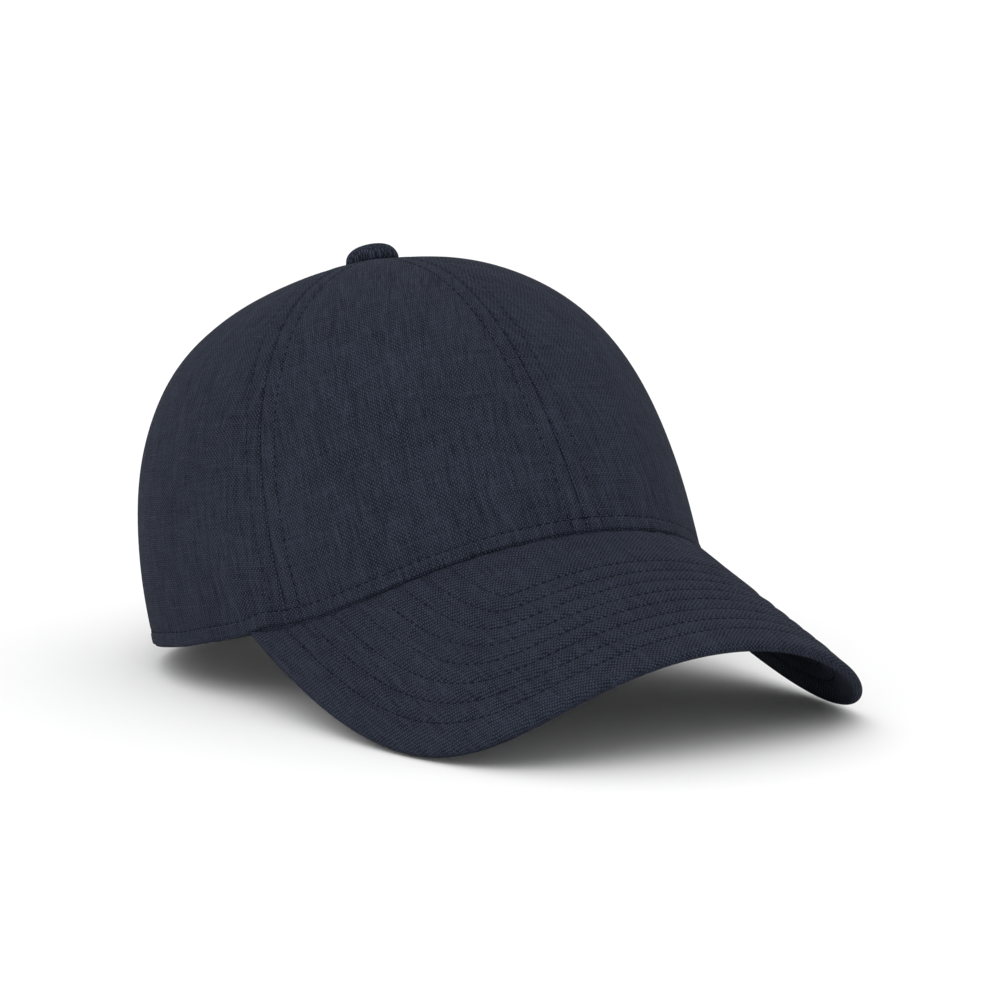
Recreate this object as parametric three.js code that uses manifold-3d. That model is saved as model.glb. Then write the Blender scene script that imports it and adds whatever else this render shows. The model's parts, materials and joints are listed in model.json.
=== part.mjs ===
// Baseball cap: six crown panels, curved visor, fabric button, and a back strap with a clamp buckle.
// Millimetres. Everything is drawn in the cap's own frame, whose Z stands square to the head opening,
// with the visor towards -Y and the wearer's right towards -X. The last group leans the cap back onto
// the table it rests on: the two low edges of the visor and the lower edge of the buckle touch it.
import * as THREE from 'three';
import { mergeVertices } from 'three/addons/utils/BufferGeometryUtils.js';
import Module from 'manifold-3d';

const wasm = await Module();
wasm.setup();

// ---------------------------------------------------------------- driving dimensions
const REST_TILT = 17.4; // degrees that the opening's front stands higher than its back
const RIM = { halfWidth: 82.4, front: 112, back: 85, frontRoundness: 0.92, backRoundness: 1.03 };
const CROWN = { height: 105.6, apexY: -11.7, apexDrop: 4.6 };
// The crown's profile is a cubic curve from rim to apex. Its two handles are stated at the front,
// 60 degrees round, 120 degrees round and at the back: outward bulge and height reach of the lower
// handle, and how far out the upper handle (the shoulder) stands.
const BULGE = [-0.05, -0.015, 0.06, -0.125];
const REACH = [0.03, 0.48, 0.88, 1.3];
const SHOULDER = [0.88, 0.9, 0.54, 0.35];
const SIDE_SEAM = { angle: 63.6, bow: 5.6, drift: -6.9 };
const BACK_SEAM_ANGLE = 119;
const SEAM_GAP = 0.3;
const APEX_HOLE = 2.2;

const VISOR = {
  length: 61.8, // from crown to front edge, measured level with the head opening
  frontHandle: 68.6,
  sideHandle: 93.9,
  sideSplay: 2.7, // degrees
  pitch: 35, // degrees down from the head opening
  bendWidth: 75, // the two drops below are measured this far from the centre line
  roundDrop: 35,
  edgeDrop: 20,
  rise: -1.3,
  endAngle: 72.8,
  thickness: 3.5,
  cover: 0.9,
  coverReach: 0.985, // shares of the half width that the covers and the board reach
  boardReach: 0.9,
  coverGap: 0.4, // clearances from the crown
  boardGap: 1,
  boardInset: 2.6,
};
const BACK_RIM = { rise: 0.7, swell: 2.6 };

const PANEL = { depth: 0, thick: 1.0 };
const STIFFENER = { depth: 1.5, thick: 0.6, centreMargin: 1, margin: 7, bottom: 2, top: 118 };
const STIFFENER_MIDDLE = 30; // degrees round where its height is measured
const STIFFENER_EDGE = 60; // degrees round where its margin from the side seam is measured
const TAPE = { half: 8, thick: 0.4, frontDepth: 2.4, backDepth: 1.5, bottom: 2, topRadius: 19 };
const SWEATBAND = { frontDepth: 3.1, backDepth: 4.8, thick: 0.8, bottom: 1, height: 31, endAngle: 149 };
const SWEATBAND_EASE = { from: 95, over: 30 }; // degrees round where it draws in to clear the strap
const LABEL = { from: -112, to: -92, bottom: 8, height: 17, thick: 0.4 };
const ARCH = { halfAngle: 30, halfWidth: 41, height: 46 };
const BINDING = { inset: 0.6, width: 9, depth: 1.5, thick: 0.5, lowest: 24, clearance: 1 };

const STRAP = { centreY: 5.4, radius: 75.35, taper: 0.085, width: 18, thick: 0.9, bottom: 2.6, reach: 43 };
const BUCKLE = { angle: 17, halfLength: 8, wall: 0.7, floor: 1.25, height: 2.9, sideGap: 0.5 };
const CHEEK_ROUND = 1.3; // radius of the cheek's end round the bar
const WELD = 0.1; // how far the floor runs into the cheeks
const BAR_WELD = 0.2;
const PIN_CLEARANCE = 0.3;
const BAR = { offset: 10.5, radius: 0.7, radial: 2.4 };
const LEVER = { pinX: -6.2, pinY: 1.9, barrel: 1.2, bore: 0.75, thick: 0.8, tip: 7.4, side: 0.4 };
const LIP = { rise: 1.3, run: 1, ease: 0.4 }; // the lever's upturned end
const PIN_RADIUS = 0.45;
const TAB = { thick: 0.6, width: 17, end: 38, gap: 0.3 };

const BUTTON = { radius: 8.6, height: 5, cloth: 0.9, shell: 0.5, gap: 0.3, lean: -3, seat: 0.4 };
const DOME_ROUNDNESS = 0.7; // below 1 the dome's side stands steeper than a round one
const POST = { radius: 1.2, head: 4.6, headDrop: 1.2, headThick: 0.6, foot: 3, plate: 0.7 };
const WASHER = { radius: 6.5, low: 3.5 };

// How finely each sheet is divided: columns, then rows.
const DIVISIONS = {
  front: [9, 20],
  side: [8, 20],
  back: { beside: 5, over: 6, rows: 18 },
  stiffener: [8, 14],
  tape: [3, 16],
  sweatband: [52, 3],
  label: [4, 2],
  binding: [22, 2],
  cover: [30, 7],
  board: [26, 5],
  strap: [36, 1],
};
const ROUND = { rod: 16, pin: 12, dome: 28, shell: 24, post: 20, washer: 24, domeSteps: 7, corner: 10 };
const MERGE = 1e-4; // points closer than this are one point of a solid

// ---------------------------------------------------------------- materials
const finish = (color, roughness, metalness = 0) =>
  new THREE.MeshStandardMaterial({ color, roughness, metalness });
const navyCloth = finish('#2b313d', 0.95);
const navyTape = finish('#22262f', 0.9);
const buckram = finish('#d8d5cc', 0.9);
const sweatCloth = finish('#262b35', 0.95);
const boardPlastic = finish('#e6e6e2', 0.5);
const labelCloth = finish('#dedbd2', 0.9);
const antiqueBrass = finish('#8b7446', 0.4, 1);
const tinPlate = finish('#b9bbbd', 0.45, 1);

// ---------------------------------------------------------------- small tools
const radians = (degrees) => (degrees * Math.PI) / 180;
const mix = (a, b, t) => a + (b - a) * t;
const clamp01 = (t) => Math.min(1, Math.max(0, t));
const smooth = (t) => t * t * (3 - 2 * t);

function blendAround([front, frontQuarter, backQuarter, back], angle) {
  const mean = (front + 2 * frontQuarter + 2 * backQuarter + back) / 6;
  const first = (front + frontQuarter - backQuarter - back) / 3;
  const second = (front - frontQuarter - backQuarter + back) / 3;
  const third = (front - 2 * frontQuarter + 2 * backQuarter - back) / 6;
  const a = radians(angle);
  return mean + first * Math.cos(a) + second * Math.cos(2 * a) + third * Math.cos(3 * a);
}

// A closed sheet with a real thickness. corner(u, v, side) is a point on its outer (side 0) or
// inner (side 1) face, with u and v from 0 to 1.
function sheetGeometry(corner, columns, rows) {
  const positions = [];
  const index = [];
  const perSide = (columns + 1) * (rows + 1);
  for (const side of [0, 1]) {
    for (let row = 0; row <= rows; row++) {
      for (let column = 0; column <= columns; column++) {
        positions.push(...corner(column / columns, row / rows, side));
      }
    }
  }
  const at = (column, row, side) => side * perSide + row * (columns + 1) + column;
  const quad = (a, b, c, d) => index.push(a, b, c, a, c, d);
  for (let row = 0; row < rows; row++) {
    for (let column = 0; column < columns; column++) {
      quad(at(column, row, 0), at(column + 1, row, 0), at(column + 1, row + 1, 0), at(column, row + 1, 0));
      quad(at(column, row, 1), at(column, row + 1, 1), at(column + 1, row + 1, 1), at(column + 1, row, 1));
    }
  }
  for (let column = 0; column < columns; column++) {
    quad(at(column, 0, 1), at(column + 1, 0, 1), at(column + 1, 0, 0), at(column, 0, 0));
    quad(at(column, rows, 0), at(column + 1, rows, 0), at(column + 1, rows, 1), at(column, rows, 1));
  }
  for (let row = 0; row < rows; row++) {
    quad(at(0, row, 0), at(0, row + 1, 0), at(0, row + 1, 1), at(0, row, 1));
    quad(at(columns, row, 1), at(columns, row + 1, 1), at(columns, row + 1, 0), at(columns, row, 0));
  }
  return facingOut(bare(positions, index));
}

function bare(positions, index) {
  const geometry = new THREE.BufferGeometry();
  geometry.setAttribute('position', new THREE.Float32BufferAttribute(positions, 3));
  geometry.setIndex(index);
  return geometry;
}

function signedVolume(geometry) {
  const [a, b, c] = [new THREE.Vector3(), new THREE.Vector3(), new THREE.Vector3()];
  const { array } = geometry.index;
  let volume = 0;
  for (let i = 0; i < array.length; i += 3) {
    a.fromBufferAttribute(geometry.attributes.position, array[i]);
    b.fromBufferAttribute(geometry.attributes.position, array[i + 1]);
    c.fromBufferAttribute(geometry.attributes.position, array[i + 2]);
    volume += a.dot(b.cross(c)) / 6;
  }
  return volume;
}

function facingOut(geometry) {
  if (signedVolume(geometry) < 0) {
    const { array } = geometry.index;
    for (let i = 0; i < array.length; i += 3) {
      [array[i], array[i + 1]] = [array[i + 1], array[i]];
    }
  }
  geometry.computeVertexNormals();
  return geometry;
}

function mirrored(geometry) {
  const copy = geometry.clone();
  copy.scale(-1, 1, 1);
  return facingOut(copy);
}

function toSolid(geometry) {
  const plain = geometry.clone();
  plain.deleteAttribute('normal');
  plain.deleteAttribute('uv');
  const merged = mergeVertices(plain, MERGE);
  return new wasm.Manifold(
    new wasm.Mesh({
      numProp: 3,
      vertProperties: new Float32Array(merged.attributes.position.array),
      triVerts: new Uint32Array(merged.index.array),
    }),
  );
}

function fromSolid(solid) {
  const { vertProperties, triVerts } = solid.getMesh();
  return facingOut(bare(Array.from(vertProperties), Array.from(triVerts)));
}

function boxGeometry(low, high) {
  const size = high.map((value, axis) => value - low[axis]);
  const geometry = new THREE.BoxGeometry(...size);
  geometry.translate(...low.map((value, axis) => value + size[axis] / 2));
  return geometry;
}

// A round rod along Z, centred on (x, y), from z = low to z = high.
function rodGeometry(x, y, low, high, radius, sides = ROUND.rod) {
  const geometry = new THREE.CylinderGeometry(radius, radius, high - low, sides);
  geometry.rotateX(Math.PI / 2);
  geometry.translate(x, y, (low + high) / 2);
  return geometry;
}

const SAME_POINT = 1e-3; // neighbours in an outline closer than this are one point
function withoutRepeats(points) {
  return points.filter((point, i) => {
    const before = points[(i + points.length - 1) % points.length];
    return point.distanceTo(before) > SAME_POINT;
  });
}

// A flat outline in X and Y, extruded along Z and centred on z = 0.
function slabGeometry(outline, width) {
  const { shape: points, holes } = outline.extractPoints(ROUND.corner);
  const shape = new THREE.Shape(withoutRepeats(points));
  shape.holes = holes.map((hole) => new THREE.Path(withoutRepeats(hole)));
  const geometry = new THREE.ExtrudeGeometry(shape, { depth: width, bevelEnabled: false });
  geometry.translate(0, 0, -width / 2);
  return geometry;
}

// ---------------------------------------------------------------- the cap's surfaces
function visorHeight(x, y) {
  const across = x / VISOR.bendWidth;
  const ahead = -y - RIM.front;
  const drop = VISOR.roundDrop * across ** 2 + VISOR.edgeDrop * across ** 4;
  return VISOR.rise - drop - Math.tan(radians(VISOR.pitch)) * ahead;
}

function visorNormal(x) {
  const across = x / VISOR.bendWidth;
  const slopeX = (2 * VISOR.roundDrop * across + 4 * VISOR.edgeDrop * across ** 3) / VISOR.bendWidth;
  return new THREE.Vector3(slopeX, -Math.tan(radians(VISOR.pitch)), 1).normalize();
}

// A point of the rim, at an angle round from the front, a depth inside the cloth's outer face.
function rimPlan(angle, depth = 0) {
  const c = Math.cos(radians(angle));
  const s = Math.sin(radians(angle));
  const length = c > 0 ? RIM.front : RIM.back;
  const roundness = c > 0 ? RIM.frontRoundness : RIM.backRoundness;
  return [
    -(RIM.halfWidth - depth) * Math.sign(s) * Math.abs(s) ** roundness,
    -(length - depth) * Math.sign(c) * Math.abs(c) ** roundness,
  ];
}

function rimHeight(angle) {
  const away = Math.abs(angle);
  if (away <= VISOR.endAngle) {
    return visorHeight(...rimPlan(away));
  }
  const visorEnd = visorHeight(...rimPlan(VISOR.endAngle));
  const t = clamp01((away - VISOR.endAngle) / (180 - VISOR.endAngle));
  return mix(visorEnd, BACK_RIM.rise, smooth(t)) + BACK_RIM.swell * Math.sin(Math.PI * t);
}

function crownHandles(angle, depth) {
  const [x, y] = rimPlan(angle, depth);
  const z = rimHeight(angle);
  const top = CROWN.height - depth;
  const fromApex = y - CROWN.apexY;
  const low = 1 + blendAround(BULGE, angle);
  const high = blendAround(SHOULDER, angle);
  return [
    new THREE.Vector3(x, y, z),
    new THREE.Vector3(x * low, CROWN.apexY + fromApex * low, mix(z, top, blendAround(REACH, angle))),
    new THREE.Vector3(x * high, CROWN.apexY + fromApex * high, top - CROWN.apexDrop),
    new THREE.Vector3(0, CROWN.apexY, top),
  ];
}

const PROFILE_STEPS = 80;
const profileCurves = new Map();
function profileAt(angle) {
  const key = Math.abs(angle).toFixed(4);
  if (!profileCurves.has(key)) {
    const curve = new THREE.CubicBezierCurve3(...crownHandles(Math.abs(angle), 0));
    curve.arcLengthDivisions = PROFILE_STEPS;
    profileCurves.set(key, curve);
  }
  return profileCurves.get(key);
}
const profileLength = (angle) => profileAt(angle).getLength();

// A point of the crown: angle round from the front, rise from 0 at the rim to 1 at the apex
// (by distance along the cloth), and depth inside the outer face.
function crownPoint(angle, rise, depth = 0) {
  const t = profileAt(angle).getUtoTmapping(clamp01(rise));
  return new THREE.CubicBezierCurve3(...crownHandles(angle, depth)).getPoint(t).toArray();
}
const riseOf = (angle, distance) => distance / profileLength(angle);
const apexRise = (angle, radius) => 1 - radius / profileLength(angle);

const NEAREST_APEX = 1.5; // keeps a width from turning into a huge angle close to the apex
function apexDistance(angle, rise) {
  const [x, y] = crownPoint(angle, rise);
  return Math.max(NEAREST_APEX, Math.hypot(x, y - CROWN.apexY));
}
const widthToAngle = (width, angle, rise) => THREE.MathUtils.radToDeg(width / apexDistance(angle, rise));

const sideSeam = (rise) =>
  SIDE_SEAM.angle + SIDE_SEAM.bow * 4 * rise * (1 - rise) + SIDE_SEAM.drift * rise;
const backSeam = () => BACK_SEAM_ANGLE;
const frontCentre = () => 0;
const backCentre = () => 180;

// The back opening is a half ellipse in the cloth: angle away from the back, distance above the rim.
function archStart(angle) {
  const away = (180 - Math.abs(angle)) / ARCH.halfAngle;
  return away >= 1 ? 0 : ARCH.height * Math.sqrt(1 - away * away);
}

// ---------------------------------------------------------------- crown pieces
function panelGeometry(from, to, divisions) {
  const corner = (u, v, side) => {
    const rough = mix(from(v), to(v), u);
    const rise = mix(0, apexRise(rough, APEX_HOLE), v);
    const margin = widthToAngle(SEAM_GAP / 2, rough, rise);
    const angle = mix(from(rise) + margin, to(rise) - margin, u);
    return crownPoint(angle, rise, PANEL.depth + side * PANEL.thick);
  };
  return sheetGeometry(corner, ...divisions);
}

// The back panel's columns crowd towards the side of the arch, where its edge stands upright.
function backPanelGeometry({ beside: sideColumns, over: archColumns, rows }) {
  const columns = sideColumns + archColumns;
  const archSide = 180 - ARCH.halfAngle;
  const corner = (u, v, side) => {
    const column = u * columns;
    const beside = column <= sideColumns;
    const quarter = (Math.PI / 2) * ((column - sideColumns) / archColumns);
    const plain = beside
      ? mix(BACK_SEAM_ANGLE, archSide, column / sideColumns)
      : 180 - ARCH.halfAngle * Math.cos(quarter);
    const rise = mix(riseOf(plain, archStart(plain)), apexRise(plain, APEX_HOLE), v);
    const margin = widthToAngle(SEAM_GAP / 2, plain, rise);
    const share = (plain - BACK_SEAM_ANGLE) / (180 - BACK_SEAM_ANGLE);
    const angle = plain + mix(margin, -margin, share);
    return crownPoint(angle, rise, PANEL.depth + side * PANEL.thick);
  };
  return sheetGeometry(corner, columns, rows);
}

function stiffenerGeometry() {
  const corner = (u, v, side) => {
    const low = riseOf(STIFFENER_MIDDLE, STIFFENER.bottom);
    const high = riseOf(STIFFENER_MIDDLE, STIFFENER.top);
    const rise = mix(low, high, v);
    const inner = widthToAngle(STIFFENER.centreMargin, 1, rise);
    const outer = sideSeam(rise) - widthToAngle(STIFFENER.margin, STIFFENER_EDGE, rise);
    return crownPoint(mix(inner, outer, u), rise, STIFFENER.depth + side * STIFFENER.thick);
  };
  return sheetGeometry(corner, ...DIVISIONS.stiffener);
}

function tapeGeometry(seam, depth, bottom) {
  const corner = (u, v, side) => {
    const middle = seam(v);
    const rise = mix(riseOf(middle, bottom), apexRise(middle, TAPE.topRadius), v);
    const half = widthToAngle(TAPE.half, seam(rise), rise);
    return crownPoint(seam(rise) + mix(-half, half, u), rise, depth + side * TAPE.thick);
  };
  return sheetGeometry(corner, ...DIVISIONS.tape);
}

function sweatbandDepth(angle) {
  const share = clamp01((Math.abs(angle) - SWEATBAND_EASE.from) / SWEATBAND_EASE.over);
  return mix(SWEATBAND.frontDepth, SWEATBAND.backDepth, smooth(share));
}

function sweatbandGeometry() {
  const corner = (u, v, side) => {
    const angle = mix(-SWEATBAND.endAngle, SWEATBAND.endAngle, u);
    const rise = riseOf(angle, SWEATBAND.bottom + SWEATBAND.height * v);
    return crownPoint(angle, rise, sweatbandDepth(angle) + side * SWEATBAND.thick);
  };
  return sheetGeometry(corner, ...DIVISIONS.sweatband);
}

function labelGeometry() {
  const corner = (u, v, side) => {
    const angle = mix(LABEL.from, LABEL.to, u);
    const rise = riseOf(angle, LABEL.bottom + LABEL.height * v);
    const depth = sweatbandDepth(angle) + SWEATBAND.thick + SEAM_GAP + side * LABEL.thick;
    return crownPoint(angle, rise, depth);
  };
  return sheetGeometry(corner, ...DIVISIONS.label);
}

// A flat tape that follows the arch on the inside, down to just above the strap.
function bindingGeometry() {
  const lowest = Math.asin(BINDING.lowest / ARCH.height);
  const anglePerWidth = ARCH.halfAngle / ARCH.halfWidth;
  const corner = (u, v, side) => {
    const turn = mix(lowest, Math.PI - lowest, u);
    const outward = BINDING.inset + BINDING.width * v;
    const angle = 180 - (ARCH.halfWidth + outward) * Math.cos(turn) * anglePerWidth;
    const distance = (ARCH.height + outward) * Math.sin(turn);
    return crownPoint(angle, riseOf(angle, distance), BINDING.depth + side * BINDING.thick);
  };
  return sheetGeometry(corner, ...DIVISIONS.binding);
}

// ---------------------------------------------------------------- visor pieces
const visorEnd = new THREE.Vector2(...rimPlan(VISOR.endAngle));
const visorOutline = new THREE.CubicBezierCurve(
  new THREE.Vector2(0, -RIM.front - VISOR.length),
  new THREE.Vector2(-VISOR.frontHandle, -RIM.front - VISOR.length),
  new THREE.Vector2(
    visorEnd.x - VISOR.sideHandle * Math.sin(radians(VISOR.sideSplay)),
    visorEnd.y - VISOR.sideHandle * Math.cos(radians(VISOR.sideSplay)),
  ),
  visorEnd,
);

// across runs from -1 to 1 along the visor; out runs from 0 at the crown to 1 at the edge.
function visorPlan(across, crownGap, edgeGap, out) {
  const side = across < 0 ? -1 : 1;
  const edge = visorOutline.getPoint(Math.abs(across));
  const inner = new THREE.Vector2(...rimPlan(Math.abs(across) * VISOR.endAngle));
  const step = edge.clone().sub(inner);
  const from = inner.clone().addScaledVector(step, crownGap / step.length());
  const to = edge.clone().addScaledVector(step, -edgeGap / step.length());
  const point = from.lerp(to, out);
  return [point.x * side, point.y];
}

function visorSheet(top, thick, { reach, crownGap, edgeGap }, divisions) {
  const corner = (u, v, side) => {
    const [x, y] = visorPlan(mix(-reach, reach, u), crownGap, edgeGap, v);
    const offset = top - side * thick;
    const point = new THREE.Vector3(x, y, visorHeight(x, y)).addScaledVector(visorNormal(x), offset);
    return point.toArray();
  };
  return sheetGeometry(corner, ...divisions);
}

// ---------------------------------------------------------------- button
// A dome shell open below: its cloth or metal lies between two rounded outlines.
function domeGeometry(radius, height, thick, sides) {
  const outer = domeOutline(radius, height);
  const inner = domeOutline(radius - thick, height - thick).reverse();
  return lathed([...outer, ...inner, outer[0].clone()], sides);
}

function domeOutline(radius, height) {
  const outline = [];
  for (let i = 0; i <= ROUND.domeSteps; i++) {
    const turn = (Math.PI / 2) * (i / ROUND.domeSteps);
    outline.push(new THREE.Vector2(radius * Math.cos(turn) ** DOME_ROUNDNESS, height * Math.sin(turn)));
  }
  outline[ROUND.domeSteps].x = 0;
  return outline;
}

function lathed(outline, sides) {
  const geometry = new THREE.LatheGeometry(outline, sides);
  geometry.rotateX(Math.PI / 2);
  geometry.deleteAttribute('normal');
  geometry.deleteAttribute('uv');
  return facingOut(withoutSlivers(mergeVertices(geometry, MERGE)));
}

// Triangles that shrank to a line where the outline touches the axis are dropped.
function withoutSlivers(geometry) {
  const kept = [];
  const { array } = geometry.index;
  for (let i = 0; i < array.length; i += 3) {
    const [a, b, c] = [array[i], array[i + 1], array[i + 2]];
    if (a !== b && b !== c && c !== a) {
      kept.push(a, b, c);
    }
  }
  geometry.setIndex(kept);
  return geometry;
}

function postGeometry() {
  const top = BUTTON.height - BUTTON.cloth - BUTTON.shell - 2 * BUTTON.gap;
  const shoulder = top - POST.headDrop;
  const underHead = shoulder - POST.headThick;
  const foot = -WASHER.low - BUTTON.gap;
  const outline = [
    [0, top],
    [POST.head, shoulder],
    [POST.head, underHead],
    [POST.radius, underHead],
    [POST.radius, foot],
    [POST.foot, foot],
    [POST.foot, foot - POST.plate],
    [0, foot - POST.plate],
  ];
  return lathed(outline.map(([r, z]) => new THREE.Vector2(r, z)), ROUND.post);
}

function washerGeometry() {
  const inner = POST.radius + BUTTON.gap;
  const outer = WASHER.radius;
  const low = -WASHER.low;
  const high = low + POST.plate;
  const outline = [[inner, low], [outer, low], [outer, high], [inner, high], [inner, low]];
  return lathed(outline.map(([r, z]) => new THREE.Vector2(r, z)), ROUND.washer);
}

// ---------------------------------------------------------------- back strap and buckle
const strapMiddle = STRAP.bottom + STRAP.width / 2;

// The strap is a band of a shallow cone, so it slides along itself about the cone's axis.
function strapGeometry() {
  const corner = (u, v, side) => {
    const turn = radians(mix(-STRAP.reach, STRAP.reach, u));
    const z = STRAP.bottom + STRAP.width * v;
    const radius = STRAP.radius - STRAP.taper * (z - strapMiddle) + STRAP.thick * (0.5 - side);
    return [-radius * Math.sin(turn), STRAP.centreY + radius * Math.cos(turn), z];
  };
  return sheetGeometry(corner, ...DIVISIONS.strap);
}

function buckleGeometry() {
  const inside = STRAP.width / 2 + BUCKLE.sideGap;
  const outside = inside + BUCKLE.wall;
  const bar = barCentre();
  const cheekShape = new THREE.Shape();
  cheekShape.moveTo(BUCKLE.halfLength, -BUCKLE.floor - BUCKLE.wall);
  cheekShape.lineTo(BUCKLE.halfLength, BUCKLE.height);
  cheekShape.lineTo(bar.x, bar.y + CHEEK_ROUND);
  cheekShape.absarc(bar.x, bar.y, CHEEK_ROUND, Math.PI / 2, 1.5 * Math.PI, false);
  cheekShape.lineTo(-BUCKLE.halfLength, -BUCKLE.floor - BUCKLE.wall);
  const cheek = slabGeometry(cheekShape, BUCKLE.wall);
  const low = cheek.clone().translate(0, 0, -(inside + outside) / 2);
  const high = cheek.clone().translate(0, 0, (inside + outside) / 2);
  const floorTop = -BUCKLE.floor;
  const floor = boxGeometry(
    [-BUCKLE.halfLength, floorTop - BUCKLE.wall, -inside - WELD],
    [BUCKLE.halfLength, floorTop, inside + WELD],
  );
  const rod = rodGeometry(bar.x, bar.y, -inside - BAR_WELD, inside + BAR_WELD, BAR.radius);
  const through = 2 * outside;
  const pinHole = rodGeometry(LEVER.pinX, LEVER.pinY, -through, through, PIN_RADIUS + PIN_CLEARANCE);
  const solid = toSolid(low).add(toSolid(high)).add(toSolid(floor)).add(toSolid(rod));
  return fromSolid(solid.subtract(toSolid(pinHole)));
}

// The bar that holds the tab stands a little proud of the strap, on the strap's own curve.
function barCentre() {
  const turn = BAR.offset / STRAP.radius;
  const radius = STRAP.radius + BAR.radial;
  return { x: -radius * Math.sin(turn), y: radius * Math.cos(turn) - STRAP.radius, turn };
}

function leverGeometry() {
  const { pinX, pinY, barrel, thick, tip } = LEVER;
  const half = thick / 2;
  const root = pinX + Math.sqrt(barrel ** 2 - half ** 2);
  const opening = Math.asin(half / barrel);
  const shape = new THREE.Shape();
  shape.moveTo(root, pinY + half);
  shape.absarc(pinX, pinY, barrel, opening, 2 * Math.PI - opening, false);
  shape.lineTo(tip - LIP.ease, pinY - half);
  shape.lineTo(tip + LIP.run, pinY - half + LIP.rise);
  shape.lineTo(tip + LIP.run - LIP.ease, pinY + half + LIP.rise);
  shape.lineTo(tip - LIP.run, pinY + half);
  shape.lineTo(root, pinY + half);
  const hole = new THREE.Path();
  hole.absarc(pinX, pinY, LEVER.bore, 0, 2 * Math.PI, true);
  shape.holes.push(hole);
  return slabGeometry(shape, STRAP.width + 2 * (BUCKLE.sideGap - LEVER.side));
}

// One strip of cloth folded round the buckle's bar and led back under the crown's edge.
function tabGeometry() {
  const loop = BAR.radius + TAB.gap + TAB.thick;
  const low = STRAP.radius + BAR.radial - loop;
  const high = low + TAB.thick;
  const bar = barCentre();
  const end = radians(TAB.end - BUCKLE.angle) - bar.turn;
  const meetX = -Math.sqrt(loop ** 2 - (loop - TAB.thick) ** 2);
  const meetTurn = Math.atan2(-meetX, high);
  const startTurn = Math.PI + Math.atan2(loop - TAB.thick, -meetX);
  const quarter = Math.PI / 2;
  const shape = new THREE.Shape();
  shape.moveTo(0, low);
  shape.absarc(0, 0, low, quarter, quarter + end, false);
  shape.absarc(0, 0, high, quarter + end, quarter + meetTurn, true);
  shape.absarc(0, STRAP.radius + BAR.radial, loop, startTurn, -quarter, true);
  const strip = slabGeometry(shape, TAB.width);
  const eye = rodGeometry(0, STRAP.radius + BAR.radial, -TAB.width, TAB.width, BAR.radius + TAB.gap);
  const geometry = fromSolid(toSolid(strip).subtract(toSolid(eye)));
  geometry.rotateZ(bar.turn);
  geometry.translate(0, -STRAP.radius, 0);
  return geometry;
}

// ---------------------------------------------------------------- assembly
function piece(name, geometry, material) {
  const mesh = new THREE.Mesh(geometry, material);
  mesh.name = name;
  return mesh;
}

function pair(name, geometry, material) {
  return [piece(`${name}_right`, geometry, material), piece(`${name}_left`, mirrored(geometry), material)];
}

function crownPieces() {
  const archTop = ARCH.height + BINDING.inset + BINDING.width + BINDING.clearance;
  const { front, side, back } = DIVISIONS;
  const { frontDepth, backDepth, bottom } = TAPE;
  return [
    ...pair('crown_front', panelGeometry(frontCentre, sideSeam, front), navyCloth),
    ...pair('crown_side', panelGeometry(sideSeam, backSeam, side), navyCloth),
    ...pair('crown_back', backPanelGeometry(back), navyCloth),
    ...pair('front_stiffener', stiffenerGeometry(), buckram),
    ...pair('side_seam_tape', tapeGeometry(sideSeam, frontDepth, bottom), navyTape),
    ...pair('back_seam_tape', tapeGeometry(backSeam, backDepth, bottom), navyTape),
    piece('front_centre_tape', tapeGeometry(frontCentre, frontDepth, bottom), navyTape),
    piece('back_centre_tape', tapeGeometry(backCentre, backDepth, archTop), navyTape),
    piece('arch_binding', bindingGeometry(), navyTape),
    piece('sweatband', sweatbandGeometry(), sweatCloth),
    piece('care_label', labelGeometry(), labelCloth),
  ];
}

function visorPieces() {
  const half = VISOR.thickness / 2;
  const { cover: thick, coverReach, boardReach, coverGap, boardGap, boardInset } = VISOR;
  const boardTop = half - thick - SEAM_GAP;
  const coverFit = { reach: coverReach, crownGap: coverGap, edgeGap: 0 };
  const boardFit = { reach: boardReach, crownGap: boardGap, edgeGap: boardInset };
  const { cover, board } = DIVISIONS;
  return [
    piece('visor_top_cover', visorSheet(half, thick, coverFit, cover), navyCloth),
    piece('visor_board', visorSheet(boardTop, 2 * boardTop, boardFit, board), boardPlastic),
    piece('visor_under_cover', visorSheet(thick - half, thick, coverFit, cover), navyCloth),
  ];
}

function buttonGroup() {
  const group = new THREE.Group();
  const shellRadius = BUTTON.radius - BUTTON.cloth - BUTTON.gap;
  const shellHeight = BUTTON.height - BUTTON.cloth - BUTTON.gap;
  group.add(
    piece('button_cover', domeGeometry(BUTTON.radius, BUTTON.height, BUTTON.cloth, ROUND.dome), navyCloth),
    piece('button_shell', domeGeometry(shellRadius, shellHeight, BUTTON.shell, ROUND.shell), tinPlate),
    piece('button_post', postGeometry(), tinPlate),
    piece('button_washer', washerGeometry(), tinPlate),
  );
  group.position.set(0, CROWN.apexY, CROWN.height + BUTTON.seat);
  group.rotation.x = radians(BUTTON.lean);
  return group;
}

function buckleGroup() {
  const seat = new THREE.Group();
  const lean = new THREE.Group();
  const outside = STRAP.width / 2 + BUCKLE.sideGap + BUCKLE.wall;
  const turn = radians(BUCKLE.angle);
  const pin = rodGeometry(LEVER.pinX, LEVER.pinY, -outside, outside, PIN_RADIUS, ROUND.pin);
  lean.add(
    piece('buckle_frame', buckleGeometry(), antiqueBrass),
    piece('buckle_lever', leverGeometry(), antiqueBrass),
    piece('buckle_pin', pin, tinPlate),
    piece('buckle_tab', tabGeometry(), navyCloth),
  );
  lean.rotation.x = Math.atan(STRAP.taper);
  seat.add(lean);
  seat.rotation.z = turn;
  seat.position.set(
    -STRAP.radius * Math.sin(turn),
    STRAP.centreY + STRAP.radius * Math.cos(turn),
    strapMiddle,
  );
  return seat;
}

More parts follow.
